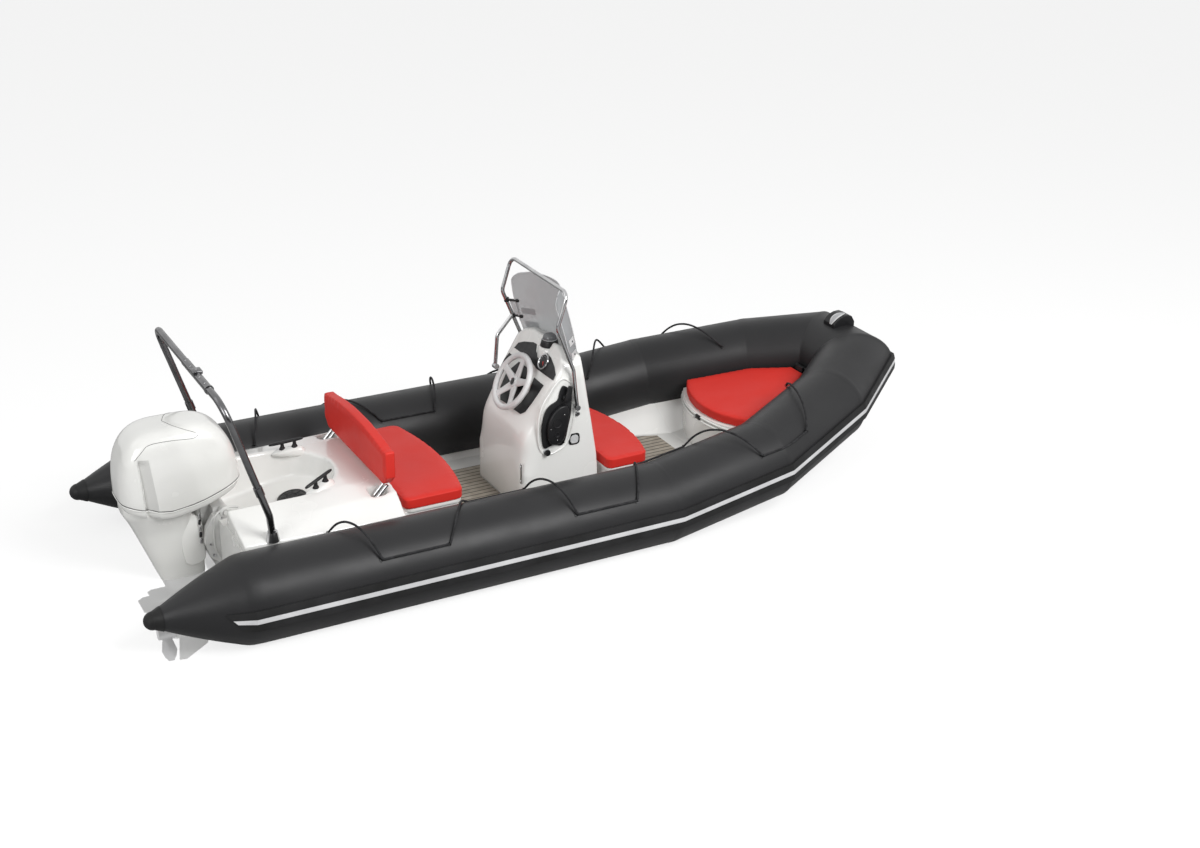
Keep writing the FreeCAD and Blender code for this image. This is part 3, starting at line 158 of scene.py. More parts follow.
def feed(tree, node, inputs):
    """Gives a node's inputs their values, or links them to other nodes' outputs."""
    for key, value in inputs.items():
        if isinstance(value, bpy.types.NodeSocket):
            tree.links.new(value, node.inputs[key])
        else:
            node.inputs[key].default_value = value
    return node


def add_node(tree, kind, inputs=None, **settings):
    """Adds a node with its settings and inputs."""
    node = tree.nodes.new("ShaderNode" + kind)
    for name, value in settings.items():
        setattr(node, name, value)
    return feed(tree, node, inputs or {})


def remap(tree, source, low, high, to_low, to_high):
    """A value moved from one range to another."""
    limits = {"From Min": low, "From Max": high, "To Min": to_low, "To Max": to_high}
    return add_node(tree, "MapRange", {**limits, "Value": source}).outputs["Result"]


def maths(tree, operation, first, second):
    """Two values added, or the larger of them."""
    return add_node(tree, "Math", {0: first, 1: second}, operation=operation).outputs[0]


def blend(tree, factor, first, second):
    """Two colours mixed."""
    inputs = {"Factor": factor, "A": first, "B": second}
    return add_node(tree, "Mix", inputs, data_type="RGBA").outputs["Result"]


def texture(tree, place, kind, scale, **settings):
    """A texture on the piece's own coordinates."""
    return add_node(tree, "Tex" + kind, {"Scale": scale, "Vector": place}, **settings)


def noise(tree, place, scale, detail=3):
    """Soft blotches, or with a large scale a fine grain."""
    return feed(tree, texture(tree, place, "Noise", scale), {"Detail": detail}).outputs["Fac"]


def wave(tree, place, scale, way):
    """Even bands that lie across the given way."""
    return texture(tree, place, "Wave", scale, bands_direction=way).outputs["Fac"]


def grain_height(tree, place, grain, scale):
    """How high a finish's grain stands: grit, leather cells, planks with seams, a weave or a braid."""
    if grain == "noise":
        return noise(tree, place, scale, 2)
    if grain == "leather":
        return texture(tree, place, "Voronoi", scale).outputs["Distance"]
    if grain == "planks":
        return remap(tree, wave(tree, place, scale, "Y"), *PLANK_SEAM, 0, 1)
    if grain == "weave":
        return maths(tree, "ADD", *(wave(tree, place, scale, way) for way in "XZ"))
    return wave(tree, place, scale, "DIAGONAL")


def finish(name):
    """The procedural material of a finish: blotches of colour, uneven gloss and a fine grain."""
    if name in MATERIALS:
        return MATERIALS[name]
    light, dark, blotch, smooth, rough, grain, scale, depth = FINISHES[name]
    chosen = getattr(bpy.context.scene.boat_looks, name, light)
    dark = [low * new / high for low, new, high in zip(dark, chosen, light)]
    material = bpy.data.materials.new(name)
    tree = new_tree(material)
    place = add_node(tree, "TexCoord").outputs["Object"]
    paint = blend(tree, remap(tree, noise(tree, place, blotch), *BLOTCH_SPAN, 0, 1), (*dark, 1), (*chosen, 1))
    height = grain_height(tree, place, grain, scale)
    if grain == "planks":
        paint = blend(tree, height, SEAM_COLOUR, paint)
    bump = add_node(tree, "Bump", {"Distance": depth, "Strength": BUMP_STRENGTH, "Height": height})
    inputs = {"Base Color": paint, "Normal": bump.outputs["Normal"],
              "Roughness": remap(tree, noise(tree, place, blotch * 3), *GLOSS_SPAN, smooth, rough)}
    if name in METALS:
        inputs["Metallic"] = 1
    if name in GLOSSY_COATS:
        inputs.update({"Coat Weight": GLOSSY_COATS[name], "Coat Roughness": COAT_ROUGHNESS})
    if name in DULL:
        inputs["Specular IOR Level"] = DULL[name]
    if name == "smoked_acrylic":
        inputs.update({"Alpha": PANE_ALPHA, "IOR": PANE_IOR})
    feed(tree, tree.nodes["Principled BSDF"], inputs)
    MATERIALS[name] = material
    return material


class BOAT_OT_finishes(bpy.types.Operator):
    """Give every CAD node the finish that its record names"""

    bl_idname = "boat.finishes"
    bl_label = "Finishes"

    def execute(self, context):
        for part in frame["record"]["subparts"]:
            node = NODES[part["node"]]
            node.data.materials.clear()
            node.data.materials.append(finish(LOOKS.get(part["node"], part["material_slot"])))
        return {"FINISHED"}


# ---------------------------------------------------------------- stage
class BOAT_OT_stage(bpy.types.Operator):
    """Add the floor, the sky, the lamps and the camera"""

    bl_idname = "boat.stage"
    bl_label = "Stage"

    def execute(self, context):
        look = context.scene.boat_stage
        add_floor(look)
        add_sky(context.scene, look)
        for name, place, size, power in LAMPS:
            lamp = bpy.data.lights.new(name, "AREA")
            lamp.energy, lamp.size = getattr(look, power), size
            holder = bpy.data.objects.new(name, lamp)
            context.scene.collection.objects.link(holder)
            holder.location = place
            holder.rotation_euler = (Vector(LAMPS_LOOK_AT) - Vector(place)).to_track_quat("-Z", "Y").to_euler()
        add_card()
        add_camera(context.scene)
        context.scene.view_settings.view_transform = "Standard"
        return {"FINISHED"}


def add_floor(look):
    """The floor, level with the water that the boat floats on."""
    deselect()
    bpy.ops.mesh.primitive_plane_add(size=look.floor_size, location=FLOOR_MIDDLE)
    floor = bpy.context.object
    floor.name = "floor"
    bpy.ops.object.transform_apply(location=True)
    floor.data.materials.append(floor_material(look))


def floor_material(look):
    """A pale floor that takes the boat's shadow and lets the parts under the water level show through."""
    material = bpy.data.materials.new("floor")
    tree = new_tree(material)
    shader = feed(tree, tree.nodes["Principled BSDF"],
                  {"Base Color": (*look.floor_colour, 1), "Roughness": .9, "Specular IOR Level": 0})
    glow = add_node(tree, "Emission", {"Strength": FLOOR_GLOW})
    lit = add_node(tree, "AddShader", {0: shader.outputs[0], 1: glow.outputs[0]})
    clear = add_node(tree, "BsdfTransparent")
    veil = add_node(tree, "MixShader", {"Fac": look.floor_veil, 1: clear.outputs[0], 2: lit.outputs[0]})
    dull = add_node(tree, "BsdfDiffuse", {"Color": (look.floor_bounce, look.floor_bounce, look.floor_bounce, 1)})
    seen = add_node(tree, "LightPath").outputs["Is Camera Ray"]
    chosen = add_node(tree, "MixShader", {"Fac": seen, 1: dull.outputs[0], 2: veil.outputs[0]})
    feed(tree, tree.nodes["Material Output"], {"Surface": chosen.outputs[0]})
    return material


def add_sky(scene, look):
    """A sky that lights the boat evenly, and is plain white to the camera, in metal and through the pane."""
    scene.world = bpy.data.worlds.new("sky")
    tree = new_tree(scene.world)
    rays = add_node(tree, "LightPath").outputs
    seen = maths(tree, "MAXIMUM", rays["Is Camera Ray"], rays["Is Transmission Ray"])
    seen = maths(tree, "MAXIMUM", seen, rays["Is Glossy Ray"])
    split = add_node(tree, "SeparateXYZ", {0: add_node(tree, "TexCoord").outputs["Generated"]})
    light = remap(tree, split.outputs["Z"], -SKY_BLEND, SKY_BLEND, look.under_light, look.sky_light)
    strength = add_node(tree, "Mix", {"Factor": seen, "A": light, "B": 1}).outputs["Result"]
    feed(tree, tree.nodes["Background"], {"Strength": strength, "Color": (1, 1, 1, 1)})


def add_card():
    """The dark card that the polished metal reflects."""
    deselect()
    bpy.ops.mesh.primitive_plane_add(size=1, location=CARD_PLACE, rotation=(math.pi / 2, 0, 0))
    card = bpy.context.object
    card.name = "dark_card"
    card.scale = CARD_SIZE
    bpy.ops.object.transform_apply(location=True, rotation=True, scale=True)
    material = bpy.data.materials.new("dark_card")
    tree = new_tree(material)
    feed(tree, tree.nodes["Principled BSDF"], {"Base Color": CARD_COLOUR})
    card.data.materials.append(material)
    card.visible_camera = card.visible_diffuse = card.visible_shadow = card.visible_transmission = False


def add_camera(scene):
    """The camera, from its bearing, height, roll and lens."""
    a, e, r = map(math.radians, (CAMERA_AZIMUTH, CAMERA_ELEVATION, CAMERA_ROLL))
    back = Vector((math.sin(a) * math.cos(e), -math.cos(a) * math.cos(e), math.sin(e)))
    right = Vector((math.cos(a), math.sin(a), 0))
    up = back.cross(right)
    right, up = right * math.cos(r) + up * math.sin(r), up * math.cos(r) - right * math.sin(r)
    data = bpy.data.cameras.new("camera")
    data.lens, data.sensor_width, data.clip_end = CAMERA_LENS, SENSOR_WIDTH, CAMERA_REACH
    camera = bpy.data.objects.new("camera", data)
    scene.collection.objects.link(camera)
    turn = Matrix((right, up, back)).transposed().to_4x4()
    camera.matrix_world = Matrix.Translation(CAMERA_PLACE) @ turn
    scene.camera = camera


# ---------------------------------------------------------------- modelling tools
def deselect():
    """Nothing selected, and object mode."""
    if bpy.context.object and bpy.context.object.mode != "OBJECT":
        bpy.ops.object.mode_set(mode="OBJECT")
    bpy.ops.object.select_all(action="DESELECT")


def activate(obj):
    """Selects one object, in object mode, and makes it the active one."""
    deselect()
    bpy.context.view_layer.objects.active = obj
    obj.select_set(True)


def edit(obj):
    """Edit mode on one object, with nothing selected."""
    activate(obj)
    bpy.ops.object.mode_set(mode="EDIT")
    bpy.ops.mesh.select_mode(type="VERT")
    bpy.ops.mesh.select_all(action="DESELECT")


def face_out(obj):
    """Turns a closed piece's faces outwards."""
    edit(obj)
    bpy.ops.mesh.select_all(action="SELECT")
    bpy.ops.mesh.normals_make_consistent(inside=False)
    deselect()


def add_modifier(obj, kind, **settings):
    """Adds a modifier and applies it."""
    activate(obj)
    modifier = obj.modifiers.new(kind.lower(), kind)
    for name, value in settings.items():
        setattr(modifier, name, value)
    bpy.ops.object.modifier_apply(modifier=modifier.name)


def soften(obj, width, segments=3, angle=30):
    """Rounds the edges that turn by more than the angle."""
    add_modifier(obj, "BEVEL", width=width, segments=segments, limit_method="ANGLE", angle_limit=math.radians(angle),
                 harden_normals=False, loop_slide=False)


def round_off(obj, levels):
    """Rounds a whole piece by subdivision."""
    add_modifier(obj, "SUBSURF", levels=levels, render_levels=levels)


def settle(obj, name, look, body, *nodes, angle=40):
    """Names a finished piece, gives it its finish, and lets it ride with a body in place of CAD nodes."""
    activate(obj)
    bpy.ops.object.transform_apply(location=True, rotation=True, scale=True)
    bpy.ops.object.shade_smooth_by_angle(angle=math.radians(angle))
    obj.name = obj.data.name = name
    obj.data.materials.clear()
    obj.data.materials.append(finish(look))
    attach(obj, body)
    if nodes:
        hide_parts(*nodes)
    deselect()
    return obj


def skin(sections, caps=True):
    """A skin made from a ring of points that is extruded from section to section."""
    deselect()
    bpy.ops.mesh.primitive_circle_add(vertices=len(sections[0]))
    obj = bpy.context.object
    for vert, place in zip(obj.data.vertices, sections[0]):
        vert.co = place
    edit(obj)
    bpy.ops.mesh.select_all(action="SELECT")
    if caps:
        bpy.ops.mesh.edge_face_add()
        bpy.ops.mesh.select_mode(type="EDGE")
    for before, section in zip(sections, sections[1:]):
        bpy.ops.mesh.extrude_edges_move()
        finder = KDTree(len(before))
        for index, place in enumerate(before):
            finder.insert(place, index)
        finder.balance()
        mesh = bmesh.from_edit_mesh(obj.data)
        for vert in mesh.verts:
            if vert.select:
                vert.co = section[finder.find(vert.co)[1]]
        bmesh.update_edit_mesh(obj.data)
    if caps:
        bpy.ops.mesh.edge_face_add()
    face_out(obj)
    return obj


def curve_through(points, steps, closed=False):
    """More points on a smooth line through the given ones."""
    pts = [Vector(p) for p in points]
    count = len(pts)
    spans = count if closed else count - 1
    made = []
    for k in range(spans):
        if closed:
            a, b, c, d = (pts[(k + n) % count] for n in (-1, 0, 1, 2))
        else:
            b, c = pts[k], pts[k + 1]
            a = pts[k - 1] if k else b * 2 - c
            d = pts[k + 2] if k + 2 < count else c * 2 - b
        for n in range(steps):
            t = n / steps
            made.append(.5 * (2 * b + (c - a) * t + (2 * a - 5 * b + 4 * c - d) * t * t
                              + (3 * b - 3 * c + d - a) * t ** 3))
    return made if closed else made + [pts[-1]]


def between(rows, z):
    """The row of a table at height z, smoothly between the rows above and below it."""
    zs = [row[0] for row in rows]
    z = min(max(z, min(zs)), max(zs))
    rows = sorted(rows)
    k = max(n for n in range(len(rows) - 1) if rows[n][0] <= z or n == 0)
    lower, upper = rows[k], rows[k + 1]
    t = (z - lower[0]) / (upper[0] - lower[0])
    before, after = rows[max(k - 1, 0)], rows[min(k + 2, len(rows) - 1)]
    made = []
    for n in range(1, len(lower)):
        span = upper[0] - lower[0]
        m0 = (upper[n] - before[n]) / max(upper[0] - before[0], 1e-6) * span
        m1 = (after[n] - lower[n]) / max(after[0] - lower[0], 1e-6) * span
        made.append((2 * t ** 3 - 3 * t * t + 1) * lower[n] + (t ** 3 - 2 * t * t + t) * m0
                    + (3 * t * t - 2 * t ** 3) * upper[n] + (t ** 3 - t * t) * m1)
    return made


def tube(points, radius, name, look, body, *nodes, closed=False, sides=10, steps=1):
    """A round bar or cord whose line goes through the points."""
    line = curve_through(points, steps, closed) if steps > 1 else [Vector(p) for p in points]
    curve = bpy.data.curves.new(name, "CURVE")
    curve.dimensions = "3D"
    curve.bevel_depth = radius
    curve.bevel_resolution = max(1, sides // 4)
    curve.use_fill_caps = not closed
    spline = curve.splines.new("POLY")
    spline.points.add(len(line) - 1)
    for point, place in zip(spline.points, line):
        point.co = (*place, 1)
    spline.use_cyclic_u = closed
    holder = bpy.data.objects.new(name, curve)
    bpy.context.scene.collection.objects.link(holder)
    activate(holder)
    bpy.ops.object.convert(target="MESH")
    return settle(bpy.context.object, name, look, body, *nodes, angle=50)


def copy_of(node, name):
    """A merged copy of a CAD node's mesh."""
    mesh = NODES[node].data.copy()
    obj = bpy.data.objects.new(name, mesh)
    bpy.context.scene.collection.objects.link(obj)
    edit(obj)
    bpy.ops.mesh.select_all(action="SELECT")
    bpy.ops.mesh.remove_doubles(threshold=.00002)
    deselect()
    return obj


def surface(nu, nv, thick, place, name, look, body, *nodes, angle=60):
    """A curved sheet of even thickness: place(u, v) gives its points, u and v from 0 to 1."""
    deselect()
    bpy.ops.mesh.primitive_grid_add(x_subdivisions=nu, y_subdivisions=nv, size=1, location=(0, 0, 0))
    obj = bpy.context.object
    for vert in obj.data.vertices:
        vert.co = place(vert.co.x + .5, vert.co.y + .5)
    add_modifier(obj, "SOLIDIFY", thickness=thick, offset=0)
    face_out(obj)
    return settle(obj, name, look, body, *nodes, angle=angle)


def plate(outline, low, high, place, name, look, body, *nodes, width=.002, segments=3):
    """A flat piece from its outline, with rounded edges, put where place() says."""
    deselect()
    bpy.ops.mesh.primitive_circle_add(vertices=len(outline))
    obj = bpy.context.object
    for vert, (x, y) in zip(obj.data.vertices, outline):
        vert.co = (x, y, low)
    edit(obj)
    bpy.ops.mesh.select_all(action="SELECT")
    bpy.ops.mesh.edge_face_add()
    bpy.ops.mesh.extrude_region_move(TRANSFORM_OT_translate={"value": (0, 0, high - low)})
    face_out(obj)
    if width:
        soften(obj, width, segments, 25)
    return put(obj, place, name, look, body, *nodes)


def put(obj, place, name, look, body, *nodes, angle=40):
    """Moves a piece drawn in its own frame to where place() says, and settles it."""
    for vert in obj.data.vertices:
        vert.co = place(*vert.co)
    face_out(obj)
    return settle(obj, name, look, body, *nodes, angle=angle)


def bearings(count):
    """Angles that share out a full turn."""
    return [2 * math.pi * k / count for k in range(count)]


def circle(radius, z, count):
    """A level ring of points about the upright axis."""
    return [Vector((radius * math.cos(a), radius * math.sin(a), z)) for a in bearings(count)]


def lathe(profile, place, name, look, body, *nodes, count=40):
    """A turned piece: its profile is radius and height, from one end of its axis to the other."""
    rings = [circle(r, z, count) for r, z in profile]
    return put(skin(rings), place, name, look, body, *nodes, angle=50)


def about(place, x, y, z=0.0):
    """The same placing with its origin moved."""
    return lambda u, v, w: place(x + u, y + v, z + w)


def along(a, b):
    """Placing with z along the line from a to b."""
    a, b = Vector(a), Vector(b)
    turn = (b - a).to_track_quat("Z", "Y")
    return lambda x, y, z: a + turn @ Vector((x, y, z))


def outward(side, x, y, z):
    """Placing on one side of the boat from a point there: x forward, y up and z outward."""
    return lambda u, v, w: Vector((x + u, side * (y + w), z + v))


def oblong(reach, half, at=0.0):
    """A rectangle's outline: how far it reaches each way in x and in y, and the height of its middle."""
    return [(-reach, at - half), (reach, at - half), (reach, at + half), (-reach, at + half)]


def turned(points, degrees):
    """An outline turned about its origin."""
    c, s = math.cos(math.radians(degrees)), math.sin(math.radians(degrees))
    return [(c * x - s * y, s * x + c * y) for x, y in points]


def swelled(a, power):
    """A point of a unit circle pushed out towards a square: the smaller the power, the squarer."""
    c, s = math.cos(a), math.sin(a)
    return math.copysign(abs(c) ** power, c), math.copysign(abs(s) ** power, s)


def smooth_outline(points, steps):
    """A closed outline with more points on a smooth line through the given ones."""
    return [(p.x, p.y) for p in curve_through([(x, y, 0) for x, y in points], steps, closed=True)]


def moulded(node, voxel, rounds, body):
    """A gelcoat moulding of a CAD node's form, with all its edges rounded."""
    obj = copy_of(node, node + "_moulding")
    add_modifier(obj, "REMESH", mode="VOXEL", voxel_size=voxel)
    add_modifier(obj, "SMOOTH", factor=.5, iterations=rounds)
    return settle(obj, node + "_moulding", "white_gelcoat", body, node, angle=60)


def rounded(node, name, width, look, body, angle=35):
    """A CAD node's form with its sharp edges rounded to a small width."""
    obj = copy_of(node, name)
    soften(obj, width, 3, angle)
    return settle(obj, name, look, body, node)


# small turned pieces: points round it, finish, and profile
FIXINGS = {
    "control_screw": (16, "stainless_steel", [(.0045, .040), (.0045, .0445), (.0035, .0452), (.0005, .0452)]),
    "lever_cap": (28, "stainless_steel", [(.015, .0425), (.0155, .046), (.011, .048), (.003, .0485)]),
    "console_strap_screw": (16, "stainless_steel", [(.0055, .0055), (.0050, .0085), (.0005, .0095)]),
    "sleeve_rivet": (14, "stainless_steel", [(.0055, 0), (.005, .003), (.002, .0045)]),
    "lamp_socket_screw": (14, "stainless_steel", [(.006, .033), (.0055, .036), (.0005, .037)]),
    "foot_pin": (20, "stainless_steel", [(.006, -.004), (.008, 0), (.008, .060), (.006, .064)]),
    "clamp_ring": (24, "black_plastic", [(.0128, -.002), (.0165, 0), (.0165, .028), (.0128, .030)]),
    "clamp_button": (24, "black_plastic", [(.010, 0), (.0125, .002), (.0125, .015), (.009, .018)]),
    "screen_screw": (16, "black_plastic", [(.006, 0), (.0058, .0065), (.001, .0075)]),
    "cleat_foot": (24, "black_plastic", [(.021, 0), (.019, .006), (.0125, .018), (.0105, .036), (.012, .046)]),
    "tilt_boss": (32, "grey_paint", [(.034, 0), (.034, .006), (.028, .010), (.018, .011), (.017, .007), (.003, .007)]),
    "bracket_bolt": (6, "stainless_steel", [(.009, 0), (.009, .006), (.006, .008), (.001, .008)]),
    "trim_rod": (16, "stainless_steel", [(.0065, 0), (.0075, .002), (.0075, .030), (.0065, .032)]),
}


def fix(kind, place, ending="", name="", look="", body="hull"):
    """A screw, rivet, pin, ring or boss, named after its kind unless a name is given."""
    count, usual, profile = FIXINGS[kind]
    lathe(profile, place, name or kind + ending, look or usual, body, count=count)


# ---------------------------------------------------------------- mouldings
# the console's knee, where its aft face leans back: forward limit, height, half height, softness of its edge
KNEE_X, KNEE_Z, KNEE_REACH, KNEE_EDGE = 2.06, .575, .24, 1.8
KNEE_ROUNDS = 420
BASES = ("bench_base", "fore_seat_base", "bow_locker")
LIDS = (("bench_lid", "bench_seat"), ("fore_seat_lid", "fore_seat"), ("bow_lid", "bow_seat"))
# the bow lid's hinge lies forward of x, and its lower half above z
HINGE_FROM_X = 4.225
HINGE_FROM_Z = .47


def darken(obj, from_x, from_z):
    """Gives the faces of a hinge, forward of from_x and above from_z, a black finish."""
    obj.data.materials.append(finish("black_plastic"))
    for face in obj.data.polygons:
        if face.center.x > from_x and face.center.z > from_z:
            face.material_index = 1


class BOAT_OT_mouldings(bpy.types.Operator):
    """Round the edges of the deck, console, seat bases and locker"""

    bl_idname = "boat.mouldings"
    bl_label = "Mouldings"

    def execute(self, context):
        moulded("aft_deck", .010, 10, "hull")
        console = moulded("console", .008, 12, "hull")
        knee = console.vertex_groups.new(name="knee")
        for vert in console.data.vertices:
            near = max(0, 1 - abs(vert.co.z - KNEE_Z) / KNEE_REACH) if vert.co.x < KNEE_X else 0
            if near > 0:
                knee.add([vert.index], min(1, near * KNEE_EDGE), "REPLACE")
        add_modifier(console, "SMOOTH", factor=.9, iterations=KNEE_ROUNDS, vertex_group="knee")
        for node in BASES:
            base = rounded(node, node + "_moulding", .004, "white_gelcoat", "hull")
            if node == "bow_locker":
                darken(base, HINGE_FROM_X, HINGE_FROM_Z)
        for node, body in LIDS:
            lid = rounded(node, node + "_moulding", .003, "white_gelcoat", body)
            if node == "bow_lid":
                darken(lid, HINGE_FROM_X, 0)
        return {"FINISHED"}


# ---------------------------------------------------------------- outboard engine
# cowl: height, aft end, fore end, half width
COWL = [(.50, -.545, .170, .198), (.621, -.556, .162, .208), (.780, -.548, .146, .206),
        (.880, -.520, .112, .194), (.955, -.470, .060, .172), (1.000, -.404, -.008, .138),
        (1.018, -.330, -.075, .095), (1.022, -.250, -.150, .040)]
# leg: the same, from the cavitation plate up
LEG = [(-.170, -.300, -.104, .030), (-.070, -.318, -.080, .048), (.084, -.376, -.073, .066),
       (.112, -.386, -.100, .071), (.150, -.400, -.126, .076), (.330, -.468, -.128, .098),
       (.420, -.505, -.128, .125), (.490, -.540, -.120, .150)]
# height of the shut line along the cowl's side: x and height
SEAM = [(-.60, .605), (-.52, .592), (-.43, .566), (-.36, .545), (-.28, .534), (-.19, .543), (-.08, .571), (.02, .605),
        (.12, .638), (.20, .655)]
# hollow down the cowl's rear corner: height, aft edge, fore edge
HOLLOW = [(.500, -.432, -.348), (.885, -.459, -.386)]
HOLLOW_DEPTH, HOLLOW_EDGE = .038, .016
# the cap's shut line, seen from the cowl's middle: x, and degrees from level to straight up
CAP_LINE = [(-.250, 90), (-.215, 70), (-.165, 58), (-.105, 50), (-.088, 46), (-.100, 43), (-.140, 42), (-.250, 44),
            (-.369, 44), (-.411, 38), (-.464, 25)]
COWL_FOOT, COWL_RINGS, COWL_POINTS = .55, 45, 320
ROUND = 4.0                     # how square the cowl is in plan: 2 is an ellipse
CAP_LINE_Z = .8                 # height of the point from which the cap's line is laid on the cowl
ENGINE_MIDDLE_X = -.2
# the two beads under the cowl: name, how far below the shut line, radius, finish
BEADS = (("cowl_gasket", .004, .0024, "shut_line"), ("pan_bead", .012, .0042, "white_paint"))
PAN_TOP, PAN_DEPTH, PAN_SHARES = .008, .052, (0, .12, .3, .5, .7, .86, .96, 1)
LEG_FOOT, LEG_TOP, LEG_RINGS = -.16, .535, 40


def seam_z(x):
    """Height of the cowl's shut line at x."""
    for (x0, z0), (x1, z1) in zip(SEAM, SEAM[1:]):
        if x <= x1 or (x1, z1) == SEAM[-1]:
            t = min(max((x - x0) / (x1 - x0), 0), 1)
            return z0 + (z1 - z0) * t
    return SEAM[-1][1]


def rounded_ring(aft, fore, half, count, power=ROUND):
    """A level ring, flat sided with round corners, as (x, y) pairs."""
    middle, reach = (aft + fore) / 2, (fore - aft) / 2
    made = []
    for k in range(count):
        c, s = swelled(2 * math.pi * (k + .5) / count, 2 / power)
        made.append((middle + reach * c, half * s))
    return made


def hollowed(x, y, z):
    """The cowl's point with the hollow of the rear corner pressed in."""
    (z0, a0, f0), (z1, a1, f1) = HOLLOW
    t = (z - z0) / (z1 - z0)
    if t > 1:
        return x, y, z
    aft, fore = a0 + (a1 - a0) * t, f0 + (f1 - f0) * t
    if aft < x < fore:
        edge = min(1, (x - aft) / HOLLOW_EDGE)
        depth = HOLLOW_DEPTH * (fore - x) / (fore - aft) * min(1, (1 - t) * 9) * edge * edge * (3 - 2 * edge)
        y -= math.copysign(depth, y)
    return x, y, z


def painted_shade_band_point(u, v, side):
    """A point of the band of painted shade that lines the hollow, a greyer paint standing in for the shade there: u
    forward, v upward.
    """
    (z0, a0, f0), (z1, a1, f1) = HOLLOW
    t = .12 + .86 * v
    aft, fore = a0 + (a1 - a0) * t + HOLLOW_EDGE, f0 + (f1 - f0) * t - .004
    x = aft + (fore - aft) * u
    z = z0 + (z1 - z0) * t
    if v == 0:
        z = seam_z(x) + .004
    low, high, half = between(COWL, z)
    share = abs(x - (low + high) / 2) / ((high - low) / 2)
    y = half * (1 - share ** ROUND) ** (1 / ROUND)
    x, y, z = hollowed(x, y, z)
    return Vector((x, side * (y + .0004), z))


def cowl_ring(share):
    """One ring of the cowl, from the shut line (share 0) to its top (share 1)."""
    top = COWL[-1][0]
    made = []
    aft, fore, half = between(COWL, COWL_FOOT + (top - COWL_FOOT) * share)
    for k, (x, y) in enumerate(rounded_ring(aft, fore, half, COWL_POINTS)):
        low = seam_z(x)
        z = low + (top - low) * share
        row = between(COWL, z)
        x, y = rounded_ring(*row, COWL_POINTS)[k]
        made.append(Vector(hollowed(x, y, z)))
    return made


def inward(p, reach):
    """A level step from a point of the cowl's rim towards the engine's middle."""
    return Vector((p.x - ENGINE_MIDDLE_X, p.y, 0)).normalized() * -reach


class BOAT_OT_engine(bpy.types.Operator):
    """Model the engine's cowl, its lower pan and its leg"""

    bl_idname = "boat.engine"
    bl_label = "Engine"

    def execute(self, context):
        shares = [1 - (1 - n / (COWL_RINGS - 1)) ** 1.6 for n in range(COWL_RINGS)]
        cowl = skin([cowl_ring(share) for share in shares])
        settle(cowl, "cowl", "white_paint", "engine", "engine_cowl", angle=50)
        tree = BVHTree.FromPolygons([v.co for v in cowl.data.vertices], [p.vertices for p in cowl.data.polygons])
        for side, end in SIDES:
            line = []
            for p in curve_through([(x, angle, 0) for x, angle in CAP_LINE], 8):
                way = Vector((0, side * math.cos(math.radians(p.y)), math.sin(math.radians(p.y))))
                line.append(tree.ray_cast(Vector((p.x, 0, CAP_LINE_Z)), way)[0])
            tube(line, .0016, "cap_line_" + end, "shut_line", "engine", sides=8)
        # a band of painted shade in each side's hollow: greyer paint where shade falls
        for side, end in SIDES:
            surface(12, 40, .0012, lambda u, v, side=side: painted_shade_band_point(u, v, side), "cowl_band_" + end, "shaded_paint",
                    "engine", angle=40)
        rim = cowl_ring(0)
        for name, drop, radius, look in BEADS:
            line = [p - Vector((0, 0, drop)) + inward(p, .001) for p in rim]
            tube(line[::4], radius, name, look, "engine", closed=True)
        pan = []
        for share in PAN_SHARES:
            tuck = .004 + .018 * share ** 2.5
            pan.append([Vector((p.x, p.y, p.z - PAN_TOP - PAN_DEPTH * share)) + inward(p, tuck) for p in rim])
        settle(skin(pan), "pan", "white_paint", "engine", "engine_pan", angle=50)
        leg = []
        for n in range(LEG_RINGS):
            z = LEG_FOOT + (LEG_TOP - LEG_FOOT) * n / (LEG_RINGS - 1)
            aft, fore, half = between(LEG, z)
            flare = max(0, (z - .33) / .2)
            leg.append([Vector((x, y, min(z, seam_z(x) - PAN_DEPTH * .6) if z > .45 else z))
                        for x, y in rounded_ring(aft, fore, half, 64, 2.6 + flare)])
        settle(skin(leg), "leg", "white_paint", "engine", "engine_leg", angle=50)
        return {"FINISHED"}


# ---------------------------------------------------------------- collar
TUBE_R, TUBE_Y, TUBE_Z = .265, .885, .245
CONE_X, CONE_LENGTH, TIP_R = -.102, .505, .046
CONE_BULGE, CONE_RINGS = .010, 13
KNUCKLES = [(2.638, .885, .245), (3.461, .812, .343), (4.204, .512, .483), (4.623, .201, .571)]
RING = 72
# a seam tape's section: how far it stands out, and its place along the tube
TAPE = ((.0001, -.030), (.0004, -.022), (.0004, -.010), (.0003, 0), (.0004, .010), (.0004, .022), (.0001, .030))


def collar_line():
    """The collar's centreline from the port cone to the starboard one."""
    port = [Vector((CONE_X, TUBE_Y, TUBE_Z))] + [Vector(p) for p in KNUCKLES]
    return port + [Vector((p.x, -p.y, p.z)) for p in reversed(port)]


def across(run):
    """The two directions across a run: level, and upward."""
    side = Vector((-run.y, run.x, 0)).normalized()
    return side, run.cross(side)


def mitre_ring(line, index, radius, shift=0.0):
    """The ring where two runs of the collar meet, or shift along the run on that side of it."""
    here = line[index]
    ahead = (line[min(index + 1, len(line) - 1)] - line[min(index, len(line) - 2)]).normalized()
    behind = (line[max(index, 1)] - line[max(index - 1, 0)]).normalized()
    run = behind if shift <= 0 else ahead
    side, up = across(run)
    normal = (ahead + behind).normalized()
    made = []
    for a in bearings(RING):
        p = side * math.cos(a) * radius + up * math.sin(a) * radius
        made.append(here + p - run * (p.dot(normal) / run.dot(normal)) + run * shift)
    return made


